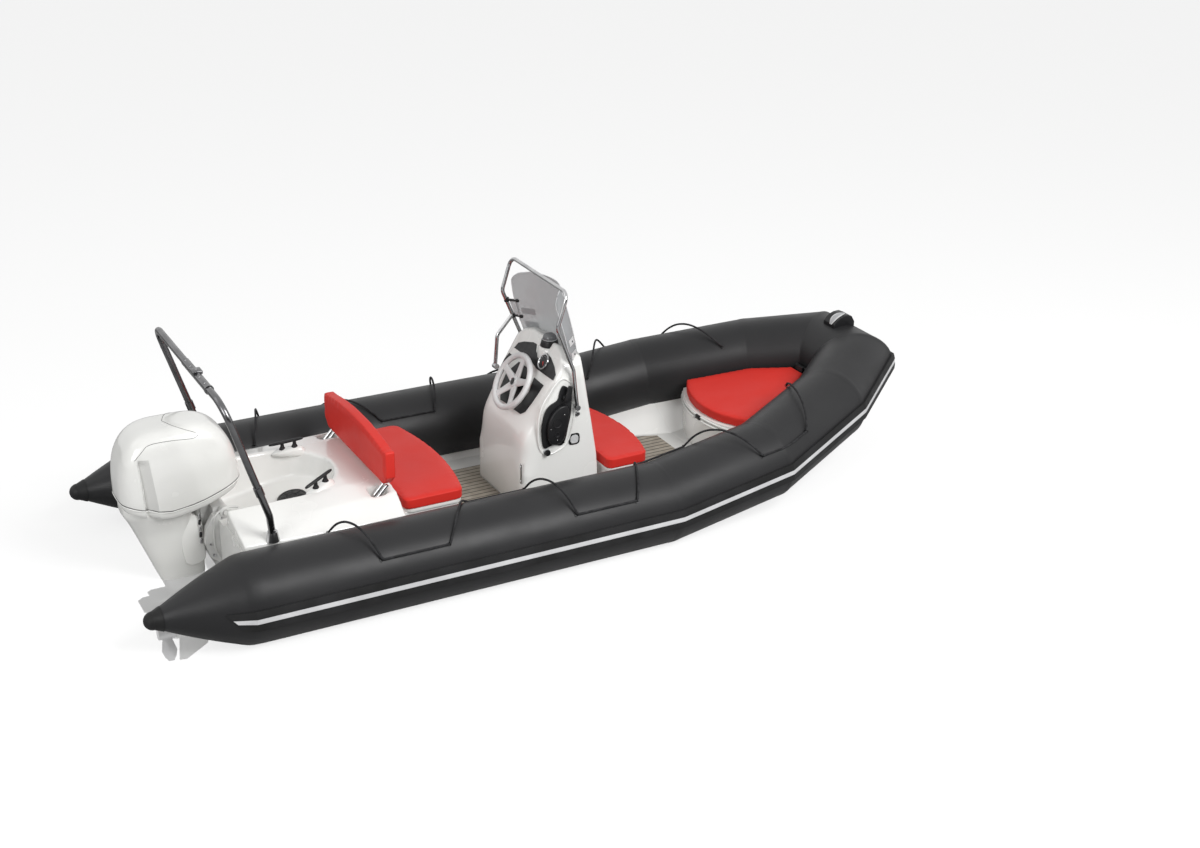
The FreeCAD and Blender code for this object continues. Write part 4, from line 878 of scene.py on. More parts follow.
def run_ring(line, index, share):
    """A plain round ring across the run that ends at a knuckle."""
    before, here = line[index - 1], line[index]
    side, up = across((here - before).normalized())
    middle = before + (here - before) * share
    return [middle + side * math.cos(a) * TUBE_R + up * math.sin(a) * TUBE_R for a in bearings(RING)]


def match_rings(rings):
    """Each ring turned or reversed so that its points face those of the ring before it."""
    made = [rings[0]]
    for ring in rings[1:]:
        last = made[-1]
        centre, last_centre = sum(ring, Vector()) / RING, sum(last, Vector()) / RING
        best = None
        for way in (ring, ring[::-1]):
            for shift in range(RING):
                gap = sum(((way[(k + shift) % RING] - centre) - (last[k] - last_centre)).length_squared
                          for k in range(0, RING, 6))
                if best is None or gap < best[0]:
                    best = (gap, way[shift:] + way[:shift])
        made.append(best[1])
    return made


def cone_rings(line):
    """The rings of the port cone, from its tip to its base."""
    start, base, made = line[0], mitre_ring(line, 0, TUBE_R), []
    for n in range(CONE_RINGS):
        share = .02 + .98 * n / (CONE_RINGS - 1)
        radius = TIP_R + (TUBE_R - TIP_R) * share + CONE_BULGE * math.sin(math.pi * share)
        x = start.x - CONE_LENGTH * (1 - share)
        made.append([Vector((x, start.y, start.z)) + Vector((0, p.y - start.y, p.z - start.z)) * (radius / TUBE_R)
                     for p in base])
    return made


class BOAT_OT_collar(bpy.types.Operator):
    """Model the inflated collar with its cones and seam tapes"""

    bl_idname = "boat.collar"
    bl_label = "Collar"

    def execute(self, context):
        line = collar_line()
        cone = cone_rings(line)
        rings = list(cone)
        for index in range(1, len(line) - 1):
            rings += [run_ring(line, index, share) for share in (.04, .12, .25, .5, .75, .88)]
            rings += [mitre_ring(line, index, TUBE_R * size, shift)
                      for size, shift in ((.9985, -.018), (.9965, 0), (.9985, .018))]
        rings += [run_ring(line, len(line) - 1, share) for share in (.12, .25, .5, .75, .96)]
        rings += [[Vector((p.x, -p.y, p.z)) for p in ring] for ring in reversed(cone)]
        collar = skin(match_rings(rings))
        round_off(collar, 1)
        settle(collar, "collar", "collar_fabric", "hull", "tube_stern_port", "tube_stern_starboard", "tube_bow_port",
               "tube_bow_starboard", "tube_nose", angle=60)
        for index in range(1, len(line) - 1):
            tape = [mitre_ring(line, index, TUBE_R + lift, shift) for lift, shift in TAPE]
            settle(skin(match_rings(tape), caps=False), "seam_tape_%d" % index, "collar_fabric", "hull", angle=50)
        return {"FINISHED"}


# ---------------------------------------------------------------- cushions
# each cushion's node, its body, and the setting that holds its swell
CUSHIONS = (("bench_cushion", "bench_seat", "seat_swell"), ("fore_seat_cushion", "fore_seat", "seat_swell"),
            ("bow_cushion", "bow_seat", "seat_swell"), ("backrest", "hull", "backrest_swell"))
PAD_CORNER, PAD_VOXEL, PAD_SHRINK, PAD_FILL = .007, .008, .0035, .85
PRESSURE, STIFFNESS, CLOTH_STEPS = 4, 15, 20


def stuffed(obj, cap):
    """Fills a cushion: it starts slightly small, and swells under pressure by no more than the cap."""
    add_modifier(obj, "DISPLACE", strength=-PAD_SHRINK, mid_level=0)
    add_modifier(obj, "REMESH", mode="VOXEL", voxel_size=PAD_VOXEL)
    rest = [v.co.copy() for v in obj.data.vertices]
    activate(obj)
    cloth = obj.modifiers.new("stuffing", "CLOTH")
    cloth.settings.use_pressure = True
    cloth.settings.uniform_pressure_force = PRESSURE
    cloth.settings.effector_weights.gravity = 0
    cloth.settings.quality = 3
    cloth.settings.tension_stiffness = cloth.settings.compression_stiffness = STIFFNESS
    scene = bpy.context.scene
    for step in range(1, CLOTH_STEPS + 1):
        scene.frame_set(step)
    shape = obj.evaluated_get(bpy.context.evaluated_depsgraph_get())
    swollen = [v.co.copy() for v in shape.data.vertices]
    obj.modifiers.remove(cloth)
    scene.frame_set(1)
    for vert, home, moved in zip(obj.data.vertices, rest, swollen):
        move = moved - home
        if move.length > cap:
            move *= cap / move.length
        vert.co = home + move
    round_off(obj, 1)


class BOAT_OT_cushions(bpy.types.Operator):
    """Stuff the seat cushions and the backrest"""

    bl_idname = "boat.cushions"
    bl_label = "Cushions"

    def execute(self, context):
        for node, body, swell in CUSHIONS:
            pad = copy_of(node, node + "_pad")
            soften(pad, PAD_CORNER, 3, 40)
            stuffed(pad, getattr(context.scene.boat_looks, swell))
            settle(pad, node + "_pad", "red_vinyl", body, node, angle=60)
        return {"FINISHED"}


# ---------------------------------------------------------------- helm
DASH_X, DASH_Z, DASH_SLOPE = 2.090, .850, .6
CONSOLE_SIDE_Y = -.3503
UP_X, UP_Z = DASH_SLOPE / math.hypot(DASH_SLOPE, 1), 1 / math.hypot(DASH_SLOPE, 1)


def on_dash(x, y, z=0.0):
    """A point of the dash: x to starboard, y up the slope, z towards the driver."""
    return Vector((DASH_X + UP_X * y - UP_Z * z, -x, DASH_Z + UP_Z * y + UP_X * z))


def on_side(x, z, out=0.0):
    """A point of the console's starboard side: x from the dash, height, and how far it stands out."""
    return Vector((DASH_X + x, CONSOLE_SIDE_Y - out, z))


def compass_place(x, y, z):
    """A point of the compass, from the middle of its foot."""
    return Vector(COMPASS_AT) + Vector((x * COMPASS_WIDE, y * COMPASS_WIDE, z * COMPASS_TALL))


def lathe_all(rows, place, body="hull"):
    """Turned pieces on one axis: name, finish, points round it, profile, and the CAD node that a piece stands for."""
    for name, look, count, profile, *nodes in rows:
        lathe(profile, place, name, look, body, *nodes, count=count)


WHEEL_RIM, WHEEL_GRIP, WHEEL_DROP, WHEEL_LIFT = .1775, .0205, .028, .062
WHEEL_SQUASH, SPOKES = .86, 5
# a spoke's sections: radius, half width, half thickness, height
SPOKE = ((.018, .030, .012, .040), (.045, .030, .012, .043), (.085, .026, .0095, .050), (.125, .0215, .0085, .057),
         (.155, .024, .009, .0615), (.172, .030, .010, .062))
HUB = (
    ("wheel_hub", "light_grey_plastic", 40,
     [(.030, .0315), (.038, .034), (.041, .042), (.040, .052), (.034, .058), (.028, .060)]),
    ("wheel_hub_ring", "stainless_steel", 40, [(.0275, .0595), (.027, .0625), (.024, .0635), (.022, .0615)]),
    ("wheel_hub_cap", "black_plastic", 40, [(.0222, .060), (.0215, .0632), (.012, .0648), (.002, .065)]),
)
GAUGE_AT, GAUGE_TICKS, TICK_FROM, TICK_STEP = (.134, .186, .0043), 11, -40, 26
GAUGE = (
    ("gauge_bezel", "stainless_steel", 40,
     [(.054, .0002), (.0545, .007), (.052, .0118), (.047, .0120), (.0445, .010), (.0435, .006)], "gauge"),
    ("gauge_dial", "black_plastic", 40,
     [(.0440, .0003), (.0440, .0062), (.0415, .0066), (.010, .0068), (.002, .0069)]),
)
TICK = [(.033, -.0008), (.039, -.0008), (.039, .0008), (.033, .0008)]
NEEDLE = [(-.004, -.002), (.018, -.022), (.0195, -.0205), (.002, .002)]
COMPASS_AT, COMPASS_WIDE, COMPASS_TALL = (DASH_X + .172, -.056, 1.0843), 1.22, 1.08
COMPASS = (
    ("compass_pod", "white_gelcoat", 48,
     [(.066, -.075), (.0645, -.030), (.061, -.008), (.056, -.0005), (.050, .001), (.004, .001)]),
    ("compass_base", "black_plastic", 40,
     [(.0495, .0), (.050, .006), (.048, .016), (.045, .030), (.0425, .040), (.038, .0425), (.034, .0425)], "compass"),
    ("compass_dome", "compass_glass", 40,
     [(.0370, .0415), (.0375, .050), (.0350, .062), (.0280, .0725), (.0170, .0795), (.0040, .0818)]),
    ("compass_ring", "grey_plastic", 40, [(.0392, .0412), (.0400, .0440), (.0385, .0462), (.0368, .0455)]),
)


class BOAT_OT_helm(bpy.types.Operator):
    """Model the steering wheel, the gauge and the compass"""

    bl_idname = "boat.helm"
    bl_label = "Helm"

    def execute(self, context):
        wheel = about(on_dash, 0, -WHEEL_DROP, 0)
        deselect()
        bpy.ops.mesh.primitive_torus_add(major_radius=WHEEL_RIM, minor_radius=WHEEL_GRIP, major_segments=96,
                                         minor_segments=20, location=(0, 0, 0))
        rim = bpy.context.object
        for vert in rim.data.vertices:
            vert.co.z = vert.co.z * WHEEL_SQUASH + WHEEL_LIFT
        put(rim, wheel, "wheel_rim", "light_grey_plastic", "helm_wheel", "steering_wheel", angle=60)
        for n in range(SPOKES):
            rings = []
            for radius, wide, thick, z in SPOKE:
                flat = turned([(radius, wide * swelled(a, .6)[0]) for a in bearings(16)], 90 + 360 / SPOKES * n)
                rings.append([Vector((x, y, z + thick * math.sin(a))) for (x, y), a in zip(flat, bearings(16))])
            spoke = skin(rings)
            round_off(spoke, 1)
            put(spoke, wheel, "wheel_spoke_%d" % (n + 1), "light_grey_plastic", "helm_wheel", angle=60)
        lathe_all(HUB, wheel, "helm_wheel")
        gauge = about(on_dash, *GAUGE_AT)
        lathe_all(GAUGE, gauge)
        for n in range(GAUGE_TICKS):
            plate(turned(TICK, TICK_FROM + TICK_STEP * n), .0066, .0074, gauge, "gauge_tick_%d" % (n + 1),
                  "light_grey_plastic", "hull", width=0)
        plate(NEEDLE, .0074, .0086, gauge, "gauge_needle", "red_vinyl", "hull", width=0)
        lathe_all(COMPASS, compass_place)
        return {"FINISHED"}


# ---------------------------------------------------------------- engine control, vent and lock
# outlines on the console's side: distance forward of the dash's foot, and height
BOX_PLATE = [(.118, .926), (.172, .880), (.178, .804), (.172, .716), (.157, .646), (.138, .558), (.110, .514),
             (.044, .526), (-.007, .512), (-.027, .537), (-.038, .615), (-.035, .685), (-.014, .762), (.019, .805),
             (.075, .834), (.092, .890)]
BOX_BODY = [(.100, .800), (.136, .786), (.146, .716), (.124, .600), (.086, .545), (.020, .548), (-.004, .620),
            (.006, .710), (.050, .774)]
SURROUND = [(.140, .962), (.100, .968), (.060, .935), (.020, .880), (-.022, .820), (-.052, .730), (-.058, .630),
            (-.048, .530), (-.020, .478), (.030, .462), (.090, .476), (.140, .505), (.176, .580), (.200, .700),
            (.205, .820), (.196, .905)]
# raised discs on the control's body: place, radius and name
DISCS = ((.060, .690, .034, "control_ring"), (.058, .610, .020, "control_boss"))
CONTROL_SCREWS, TAB_XS = ((.058, .575), (.110, .740), (.012, .655)), (.089, .119)
KNOB_AT, LEVER_CAP_AT, VENT_AT, LOCK_AT = (.002, .484), (.126, .846), (.203, .536), (.222, .712)
KNOB = (
    ("control_knob", "black_plastic", 28,
     [(.012, -.001), (.012, .010), (.019, .013), (.021, .022), (.018, .028), (.004, .030)]),
    ("control_knob_ring", "grey_plastic", 28, [(.0245, .0002), (.0245, .005), (.021, .0075), (.017, .0060)]),
)
LOCK = (("lock_ring", "stainless_steel", 32,
         [(.0165, .0003), (.0168, .008), (.0150, .0115), (.0105, .0120), (.0095, .0095), (.002, .0093)], "side_lock"),)
VENT_HALF, GRILLE_R, SLATS, SLAT_STEP, SLAT_HALF = .040, .0325, 6, .009, .0024
# the strap low on the console's aft face
STRAP_X, STRAP_Y, STRAP_HALF, STRAP_Z, STRAP_SCREWS_Z = 1.9248, -.330, .008, (.285, .425), (.305, .405)


def on_aft_face(y, z, out):
    """A point of the console's aft face: y from the strap, height, and how far it stands out."""
    return Vector((STRAP_X - out, STRAP_Y + y, z))


class BOAT_OT_controls(bpy.types.Operator):
    """Model the engine control, vent and lock on the console's side, and the strap on its aft face"""

    bl_idname = "boat.controls"
    bl_label = "Controls"

    def execute(self, context):
        surround = [on_side(x, z, -.0015) for x, z in SURROUND]
        tube(surround, .0075, "control_surround", "white_gelcoat", "hull", closed=True, steps=6, sides=12)
        plate(smooth_outline(BOX_PLATE, 4), .0005, .012, on_side, "control_plate", "black_plastic", "hull",
              "control_box", width=.004)
        plate(smooth_outline(BOX_BODY, 4), .0115, .043, on_side, "control_body", "black_plastic", "hull", width=.010)
        for x, z, r, name in DISCS:
            lathe([(r, .040), (r, .0455), (r - .003, .0465), (r - .006, .0455), (r - .007, .0430), (r * .4, .0425)],
                  about(on_side, x, z), name, "black_plastic", "hull")
        for n, (x, z) in enumerate(CONTROL_SCREWS):
            fix("control_screw", about(on_side, x, z), "_%d" % (n + 1))
        for n, x in enumerate(TAB_XS):
            tab = [(x - .008, .590), (x + .007, .592), (x + .006, .530), (x - .007, .525)]
            plate(tab, .006, .020, on_side, "control_tab_%d" % (n + 1), "black_plastic", "hull", width=.003)
        lathe_all(KNOB, about(on_side, *KNOB_AT))
        rounded("control_lever", "lever", .005, "black_plastic", "hull", angle=30)
        fix("lever_cap", about(on_side, *LEVER_CAP_AT))
        vent = about(on_side, *VENT_AT)
        square = [(VENT_HALF * c, VENT_HALF * s) for c, s in (swelled(a, .55) for a in bearings(48))]
        plate(square, .0005, .0045, vent, "vent_frame", "black_plastic", "hull", "side_vent", width=.0015)
        eight = [(GRILLE_R * math.cos(math.radians(22.5 + 45 * k)), GRILLE_R * math.sin(math.radians(22.5 + 45 * k)))
                 for k in range(8)]
        plate(eight, .004, .0065, vent, "vent_grille", "grey_plastic", "hull", width=.001)
        for n in range(SLATS):
            z = SLAT_STEP * (n - (SLATS - 1) / 2)
            reach = min(.026, .0335 - abs(z) * .45)
            plate(oblong(reach, SLAT_HALF, z), .006, .0085, vent, "vent_slat_%d" % (n + 1), "light_grey_plastic",
                  "hull", width=.001, segments=2)
        lock = about(on_side, *LOCK_AT)
        lathe_all(LOCK, lock)
        plate(oblong(.0018, .0065), .0090, .0103, lock, "lock_slot", "black_plastic", "hull", width=0)
        foot, top = STRAP_Z
        plate(oblong(STRAP_HALF, (top - foot) / 2, (top + foot) / 2), .0002, .006, on_aft_face, "console_strap",
              "stainless_steel", "hull", width=.002)
        for n, z in enumerate(STRAP_SCREWS_Z):
            fix("console_strap_screw", about(on_aft_face, 0, z), "_%d" % (n + 1))
        return {"FINISHED"}


# ---------------------------------------------------------------- roll bar fittings
BAR_KNEE, BAR_ELBOW = Vector((.150, -.676, .620)), Vector((-.076, -.688, 1.356))
BAR_LEG, BAR_TOP = BAR_ELBOW - BAR_KNEE, Vector((BAR_ELBOW.x, 0, BAR_ELBOW.z))
BAR_FIT_R, SLEEVE_R, LEG_SLEEVE_R, SLEEVE_COLLAR_R = .0212, .0245, .026, .0275
LEG_SLEEVE, TOP_SLEEVE = (.19, .27), (-.44, .02)
RIVET_YS, LAMP_SOCKET_Y = (-.40, -.30, -.12, -.02), -.205
# clips on the port leg: name, and share of the way up it
CLIPS = (("clip_port", .80), ("clip_port_low", .30))
PIN_X, PIN_Z, PIN_Y, PIN_HALF = .176, .512, .640, .030


def sleeve(a, b, name, radius=SLEEVE_R):
    """A sleeve round the bar from one point to another."""
    length = (b - a).length
    lathe([(BAR_FIT_R, 0), (radius, .002), (radius, length - .002), (BAR_FIT_R, length)], along(a, b), name,
          "gunmetal_tube", "hull", count=32)


def to_port(p):
    """The point across the boat from one to starboard."""
    return Vector((p.x, -p.y, p.z))


def lamp_side(x, y, z):
    """A point beside the top bar, where its lamp plugs in."""
    return Vector((BAR_TOP.x + x, LAMP_SOCKET_Y + y, BAR_TOP.z + z))


class BOAT_OT_roll_bar(bpy.types.Operator):
    """Model the sleeves, clamps and feet of the roll bar"""

    bl_idname = "boat.roll_bar"
    bl_label = "Roll bar fittings"

    def execute(self, context):
        foot, head = (BAR_KNEE + BAR_LEG * share for share in LEG_SLEEVE)
        sleeve(foot, head, "leg_sleeve", LEG_SLEEVE_R)
        sleeve(to_port(foot), to_port(head), "leg_sleeve_port", LEG_SLEEVE_R)
        sleeve(*(BAR_TOP + Vector((0, y, 0)) for y in TOP_SLEEVE), "top_sleeve")
        for n, y in enumerate(RIVET_YS):
            place = along(BAR_TOP + Vector((-.008, y, .022)), BAR_TOP + Vector((-.012, y, .030)))
            fix("sleeve_rivet", place, "_%d" % (n + 1))
        plate(oblong(.030, .034), .012, .034, lamp_side, "lamp_socket", "gunmetal_tube", "hull", width=.005)
        fix("lamp_socket_screw", lamp_side)
        ring = along(BAR_TOP + Vector((0, -.455, 0)), BAR_TOP + Vector((0, -.435, 0)))
        lathe([(BAR_FIT_R, 0), (SLEEVE_COLLAR_R, .002), (SLEEVE_COLLAR_R, .018), (BAR_FIT_R, .020)], ring,
              "sleeve_collar", "gunmetal_tube", "hull", count=32)
        for name, share in CLIPS:
            at = to_port(BAR_KNEE + BAR_LEG * share)
            plate(oblong(.014, .010, .010), -.022, .022, lambda x, y, z, at=at: at + Vector((x, .016 + y, z)), name,
                  "gunmetal_tube", "hull", width=.003)
        for y, ending in ((-PIN_Y, ""), (PIN_Y, "_port")):
            fix("foot_pin", along((PIN_X, y - PIN_HALF, PIN_Z), (PIN_X, y + PIN_HALF, PIN_Z)), ending)
        return {"FINISHED"}


# ---------------------------------------------------------------- windscreen
# pane: height, how far aft its ends reach, half width, how far forward its middle stands
PANE = [(1.030, 2.278, .322, 2.444), (1.110, 2.256, .342, 2.428), (1.200, 2.232, .352, 2.406),
        (1.300, 2.206, .348, 2.380), (1.400, 2.181, .328, 2.352), (1.506, 2.154, .290, 2.322)]
PANE_CORNER, PANE_EDGE_R = .085, .0032
# clamps that hold the pane to the rail on the port side: share of its height, and the rail's y and x there
CLAMPS, CLAMP_U = ((.50, .3905, 2.171), (.26, .3855, 2.216)), .985
TAB_VS = (.30, .10)


def pane_point(u, v, out=0.0):
    """A point of the pane: u from starboard to port, v from foot to top."""
    low, high = PANE[0][0], PANE[-1][0]
    z = low + (high - low) * v
    aft, half, fore = between(PANE, z)
    reach = 1.0
    over = z - (high - PANE_CORNER)
    if over > 0:
        reach = (half - PANE_CORNER + math.sqrt(max(PANE_CORNER ** 2 - over ** 2, 0))) / half
    y = half * (2 * u - 1) * reach
    rise = fore - aft
    radius = (half ** 2 + rise ** 2) / (2 * rise)
    return Vector((fore - radius + math.sqrt(radius ** 2 - y ** 2) - .0025 + out, y, z))


class BOAT_OT_windscreen(bpy.types.Operator):
    """Model the windscreen with its clamps and tabs"""

    bl_idname = "boat.windscreen"
    bl_label = "Windscreen"

    def execute(self, context):
        surface(48, 32, context.scene.boat_looks.pane_thickness, pane_point, "pane", "smoked_acrylic", "hull",
                "windscreen")
        edge = [pane_point(0, n / 20) for n in range(4, 21)] + [pane_point(n / 30, 1) for n in range(1, 30)]
        edge += [pane_point(1, 1 - n / 20) for n in range(17)]
        tube(edge, PANE_EDGE_R, "pane_edge", "pane_edge", "hull", sides=8)
        ends = []
        for n, (share, y, x) in enumerate(CLAMPS):
            grip = pane_point(CLAMP_U, share)
            bar = Vector((x, y, grip.z))
            ends.append((bar, grip))
            name = "screen_clamp_port_%d" % (n + 1)
            nodes = ("screen_clamps",) if n == 0 else ()
            tube([bar, bar.lerp(grip, .5), grip], .0085, name, "black_plastic", "hull", *nodes, sides=12)
            fix("clamp_ring", along(bar - Vector((0, 0, .014)), bar + Vector((0, 0, .014))), name=name + "_ring")
            fix("clamp_button", along(grip - Vector((.008, 0, 0)), grip + Vector((.010, 0, 0))), name=name + "_button")
        (top_bar, top_grip), (low_bar, low_grip) = ends
        surface(4, 6, .004, lambda u, v: low_bar.lerp(low_grip, .25 + .7 * u).lerp(
            top_bar.lerp(top_grip, .25 + .7 * u), v), "screen_strip", "smoked_acrylic", "hull")
        for side, end in SIDES:
            u = .5 + .5 * side
            for n, v in enumerate(TAB_VS):
                surface(6, 4, .003, lambda p, q, u=u, v=v, side=side: pane_point(
                    u - side * (.02 + .10 * p), v + .09 * q, .0075), "screen_tab_%s_%d" % (end, n + 1),
                    "light_grey_plastic", "hull")
                at = pane_point(u - side * .07, v + .045)
                place = along(at + Vector((.006, 0, 0)), at + Vector((.02, side * .012, 0)))
                fix("screen_screw", place, "_%s_%d" % (end, n + 1))
        return {"FINISHED"}


# ---------------------------------------------------------------- deck fittings
# a cleat's aft and fore tips to port; its bar's section, its mound's sections and its feet, by share of its length
CLEAT_TIPS = ((.482, .338, .572), (.680, .255, .620))
CLEAT_BAR = ((0, .003), (.02, .007), (.10, .0095), (.5, .0105), (.90, .0095), (.98, .007), (1, .003))
CLEAT_FEET, CLEAT_TALL = (.39, .75), .046
# the mound: share, half width, and how far its top lies under the bar
MOUND = ((.04, .016, .060), (.16, .034, .046), (.40, .040, .041), (.70, .040, .041), (.92, .034, .046),
         (1.06, .016, .075))
MOUND_SIDE_Z, MOUND_FOOT_Z = .515, .50
HATCH_AT, HATCH_SLOPE = (.505, 0, .3503), 10.6
HATCH = (
    ("hatch", "black_plastic", 56,
     [(.092, .0004), (.092, .008), (.088, .0125), (.079, .0135), (.076, .0105), (.074, .0105), (.072, .0125),
      (.060, .0132), (.036, .0136), (.034, .0105), (.003, .0105)], "well_hatch"),
    ("hatch_ring", "grey_plastic", 56, [(.0945, .0004), (.0945, .0045), (.0925, .0055), (.0915, .003)]),
)
HATCH_RIBS, HATCH_RIB = 8, [(.040, -.003), (.068, -.003), (.068, .003), (.040, .003)]
# the bow locker's curved front: x amidships and at its ends, its half width, and how far a rim is set into it
LOCKER_FRONT_X, LOCKER_SIDE_X, LOCKER_HALF, RIM_INSET = 3.470, 3.600, .425, .004
RIM_Z, RIM_R, LOWER_RIM_Z, LOWER_RIM_R, LOWER_RIM_REACH = .3265, .0075, .3030, .0085, .006
LATCH_HALF = .034
# the strip over the bow fitting, seen from the side, and its two layers: name, lift, half width, finish
BOW_AT, BOW_STRIP_Y = (4.623, 0, .836), -.022
BOW_ARCH = [(-.080, .010), (-.064, .038), (-.037, .061), (.000, .0735), (.034, .0755)]
# the paler, wider layer shows only as light borders beside the grey inlay: painted highlights along the strip's edges
BOW_STRIPS = (("bow_strip", .0012, .030, "light_grey_plastic"), ("bow_strip_inlay", .0024, .019, "grey_plastic"))


def locker_rim(reach, z):
    """A line round the locker's front, from starboard to port, standing out by reach."""
    half, front = LOCKER_HALF + reach, LOCKER_FRONT_X - reach
    rise = LOCKER_SIDE_X - front
    arc = (half ** 2 + rise ** 2) / (2 * rise)
    ys = [half * (n / 20 - 1) for n in range(41)]
    return [Vector((front + arc - math.sqrt(arc ** 2 - y ** 2) + RIM_INSET, y, z)) for y in ys]


def hatch_place(x, y, z):
    """A point of the well's hatch, which lies on the sloping floor of the well."""
    return Vector(HATCH_AT) + Matrix.Rotation(math.radians(-HATCH_SLOPE), 4, "Y") @ Vector((x, y, z))


def add_cleat(side, end, *nodes):
    """A cleat on its two feet, and the mound of the deck that carries it."""
    aft, fore = (Vector((x, side * y, z)) for x, y, z in CLEAT_TIPS)
    level, up = across((fore - aft).normalized())
    rings = []
    for share, r in CLEAT_BAR:
        at = aft.lerp(fore, share)
        rings.append([at + level * math.cos(a) * r * 1.15 + up * math.sin(a) * r for a in bearings(20)])
    bar = skin(rings)
    face_out(bar)
    settle(bar, "cleat_" + end, "black_plastic", "hull", *nodes)
    for n, share in enumerate(CLEAT_FEET):
        at = aft.lerp(fore, share)
        fix("cleat_foot", along(at - Vector((0, 0, CLEAT_TALL)), at), "_%s_%d" % (end, n + 1))
    rings = []
    for share, wide, drop in MOUND:
        at = aft.lerp(fore, share)
        rise = at.z - drop - MOUND_SIDE_Z
        plan = Vector((at.x, at.y, 0))
        rings.append([plan + level * wide * math.cos(math.pi * k / 13)
                      + Vector((0, 0, MOUND_SIDE_Z + rise * max(math.sin(math.pi * k / 13), 0) ** .5))
                      for k in range(14)]
                     + [Vector((at.x, at.y, MOUND_FOOT_Z)) + level * w for w in (-wide * .6, 0, wide * .6)])
    mound = skin(rings)
    round_off(mound, 2)
    settle(mound, "cleat_mound_" + end, "white_gelcoat", "hull", angle=60)


def add_bow_strip(name, lift, half, look):
    """A strip laid over the bow fitting's arch, narrow at its ends."""
    line = curve_through([(BOW_AT[0] + x, BOW_AT[1], BOW_AT[2] + z) for x, z in BOW_ARCH], 5)
    last = len(line) - 1

    def place(u, v):
        wide = half * (2 * v - 1) * math.sin(math.pi * (.12 + .76 * u))
        return line[round(u * last)] + Vector((-lift * .6, BOW_STRIP_Y + wide, lift))

    surface(last, 6, .002, place, name, look, "hull")


class BOAT_OT_deck(bpy.types.Operator):
    """Model the cleats, the well's hatch, the locker's rims and latch and the bow fitting"""

    bl_idname = "boat.deck"
    bl_label = "Deck fittings"

    def execute(self, context):
        for (side, end), nodes in zip(SIDES, (("cleats",), ())):
            add_cleat(side, end, *nodes)
        lathe_all(HATCH, hatch_place)
        for n in range(HATCH_RIBS):
            plate(turned(HATCH_RIB, 45 * n + 22), .0120, .0150, hatch_place, "hatch_rib_%d" % (n + 1), "black_plastic",
                  "hull", width=.001, segments=2)
        tube(locker_rim(0, RIM_Z), RIM_R, "locker_rim", "white_gelcoat", "bow_seat", sides=12)
        for side, name in ((-1, "locker_lower_rim"), (1, "locker_lower_rim_port")):
            run = [p for p in locker_rim(LOWER_RIM_REACH, LOWER_RIM_Z) if p.y * side >= LATCH_HALF]
            tube(run, LOWER_RIM_R, name, "white_gelcoat", "hull", sides=12)
        rounded("locker_latch", "latch", .003, "black_plastic", "bow_seat", angle=30)
        rounded("bow_fitting", "bow_fitting_body", .004, "black_plastic", "hull", angle=30)
        # the grey strip, with painted highlights along its edges from the paler layer under it
        for strip in BOW_STRIPS:
            add_bow_strip(*strip)
        return {"FINISHED"}


# ---------------------------------------------------------------- lifelines
class BOAT_OT_lifelines(bpy.types.Operator):
    """Give the lifelines their full braided thickness"""

    bl_idname = "boat.lifelines"
    bl_label = "Lifelines"

    def execute(self, context):
        rope = copy_of("lifelines", "lifeline_rope")
        add_modifier(rope, "DISPLACE", strength=context.scene.boat_looks.rope_braid, mid_level=0)
        settle(rope, "lifeline_rope", "black_rope", "hull", "lifelines", angle=60)
        return {"FINISHED"}


# ---------------------------------------------------------------- engine mounting
# curved ribs of the clamp bracket: x and height
RIBS = [[(.120, .448), (.095, .455), (.05, .458), (.004, .440), (-.028, .399), (-.037, .316), (-.036, .217),
         (-.012, .136)],
        [(.130, .425), (.100, .440), (.058, .432), (.022, .400), (.008, .355), (.002, .282), (.010, .205)]]
RIB_Y, RIB_R, RIB_STEP = .1505, .007, .0015
BRACKET_Y, TILT_X, TILT_Z = .150, .040, .432
BRACKET_BOLTS = ((-.046, .16), (-.060, .235), (.020, .395))
# the leg's cheek: its outline as x and height, and how far out it starts and ends
CHEEK = [(-.200, .105), (-.088, .105), (-.078, .200), (-.082, .330), (-.110, .400), (-.170, .430), (-.220, .400)]
CHEEK_FROM_Y, CHEEK_TO_Y = .047, .086
TRIM_X, TRIM_Y, TRIM_Z, TRIM_STEP, TRIM_RINGS = -.104, .093, .225, .042, 5


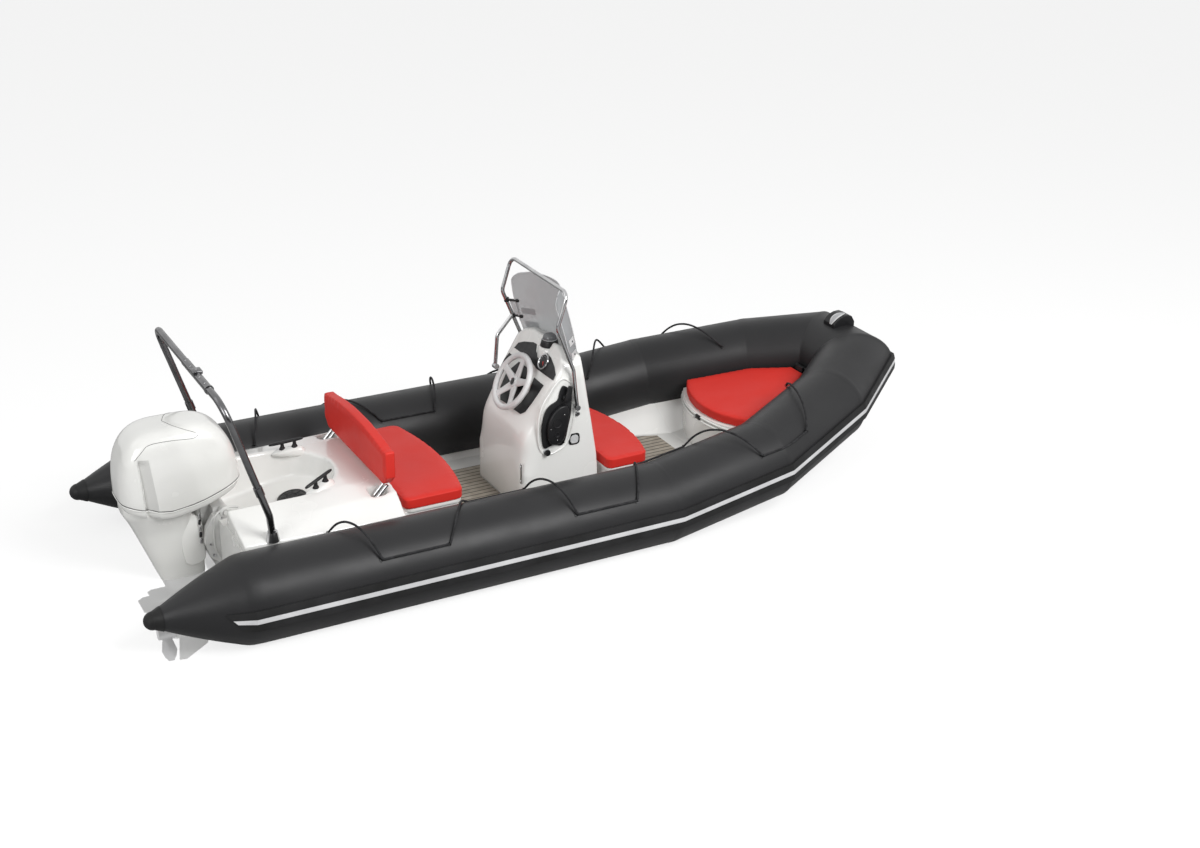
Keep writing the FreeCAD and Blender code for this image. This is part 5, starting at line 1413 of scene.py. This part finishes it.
class BOAT_OT_mounting(bpy.types.Operator):
    """Model the ribs of the clamp brackets, the trim rod and the leg's cheeks"""

    bl_idname = "boat.mounting"
    bl_label = "Engine mounting"

    def execute(self, context):
        for side, end in SIDES:
            for n, rib in enumerate(RIBS):
                line = [(x, side * RIB_Y, z) for x, z in rib]
                tube(line, RIB_R - RIB_STEP * n, "bracket_rib_%s_%d" % (end, n + 1), "grey_paint", "hull", sides=12,
                     steps=5)
            fix("tilt_boss", outward(side, TILT_X, BRACKET_Y, TILT_Z), "_" + end)
            for n, (x, z) in enumerate(BRACKET_BOLTS):
                fix("bracket_bolt", outward(side, x, BRACKET_Y, z), "_%s_%d" % (end, n + 1))
            plate(smooth_outline(CHEEK, 3), CHEEK_FROM_Y, CHEEK_TO_Y, outward(side, 0, 0, 0), "leg_cheek_" + end,
                  "white_paint", "engine", width=.008)
            for n in range(TRIM_RINGS):
                z = TRIM_Z + TRIM_STEP * n
                place = along((TRIM_X, side * TRIM_Y, z), (TRIM_X + .004, side * TRIM_Y, z + .034))
                fix("trim_rod", place, "_%s_%d" % (end, n + 1), look="black_plastic" if n % 2 else "", body="engine")
        return {"FINISHED"}


# ---------------------------------------------------------------- panel and steps
STEPS = ("finishes", "mouldings", "engine", "collar", "helm", "controls", "windscreen", "deck", "lifelines",
         "mounting", "roll_bar", "cushions", "stage")


class BOAT_PT_build(bpy.types.Panel):
    """The boat's steps and settings"""

    bl_idname = "BOAT_PT_build"
    bl_label = "Boat"
    bl_space_type = "VIEW_3D"
    bl_region_type = "UI"
    bl_category = "Boat"

    def draw(self, context):
        for step in STEPS:
            self.layout.operator("boat." + step)
        for group in (context.scene.boat_looks, context.scene.boat_stage):
            for name in type(group).__annotations__:
                self.layout.prop(group, name)


CLASSES = (BoatLooks, BoatStage, BOAT_OT_finishes, BOAT_OT_mouldings, BOAT_OT_engine, BOAT_OT_collar, BOAT_OT_helm,
           BOAT_OT_controls, BOAT_OT_windscreen, BOAT_OT_deck, BOAT_OT_lifelines, BOAT_OT_mounting, BOAT_OT_roll_bar,
           BOAT_OT_cushions, BOAT_OT_stage, BOAT_PT_build)


def register():
    """Add the operators, looks and stage to Blender."""
    for part in CLASSES:
        bpy.utils.register_class(part)
    bpy.types.Scene.boat_looks = PointerProperty(type=BoatLooks)
    bpy.types.Scene.boat_stage = PointerProperty(type=BoatStage)


def unregister():
    """Take the operators, looks and stage away again."""
    del bpy.types.Scene.boat_looks
    del bpy.types.Scene.boat_stage
    for part in reversed(CLASSES):
        bpy.utils.unregister_class(part)


def main():
    """Build the boat."""
    register()
    for step in STEPS:
        getattr(bpy.ops.boat, step)()


if __name__ == "__main__":
    main()
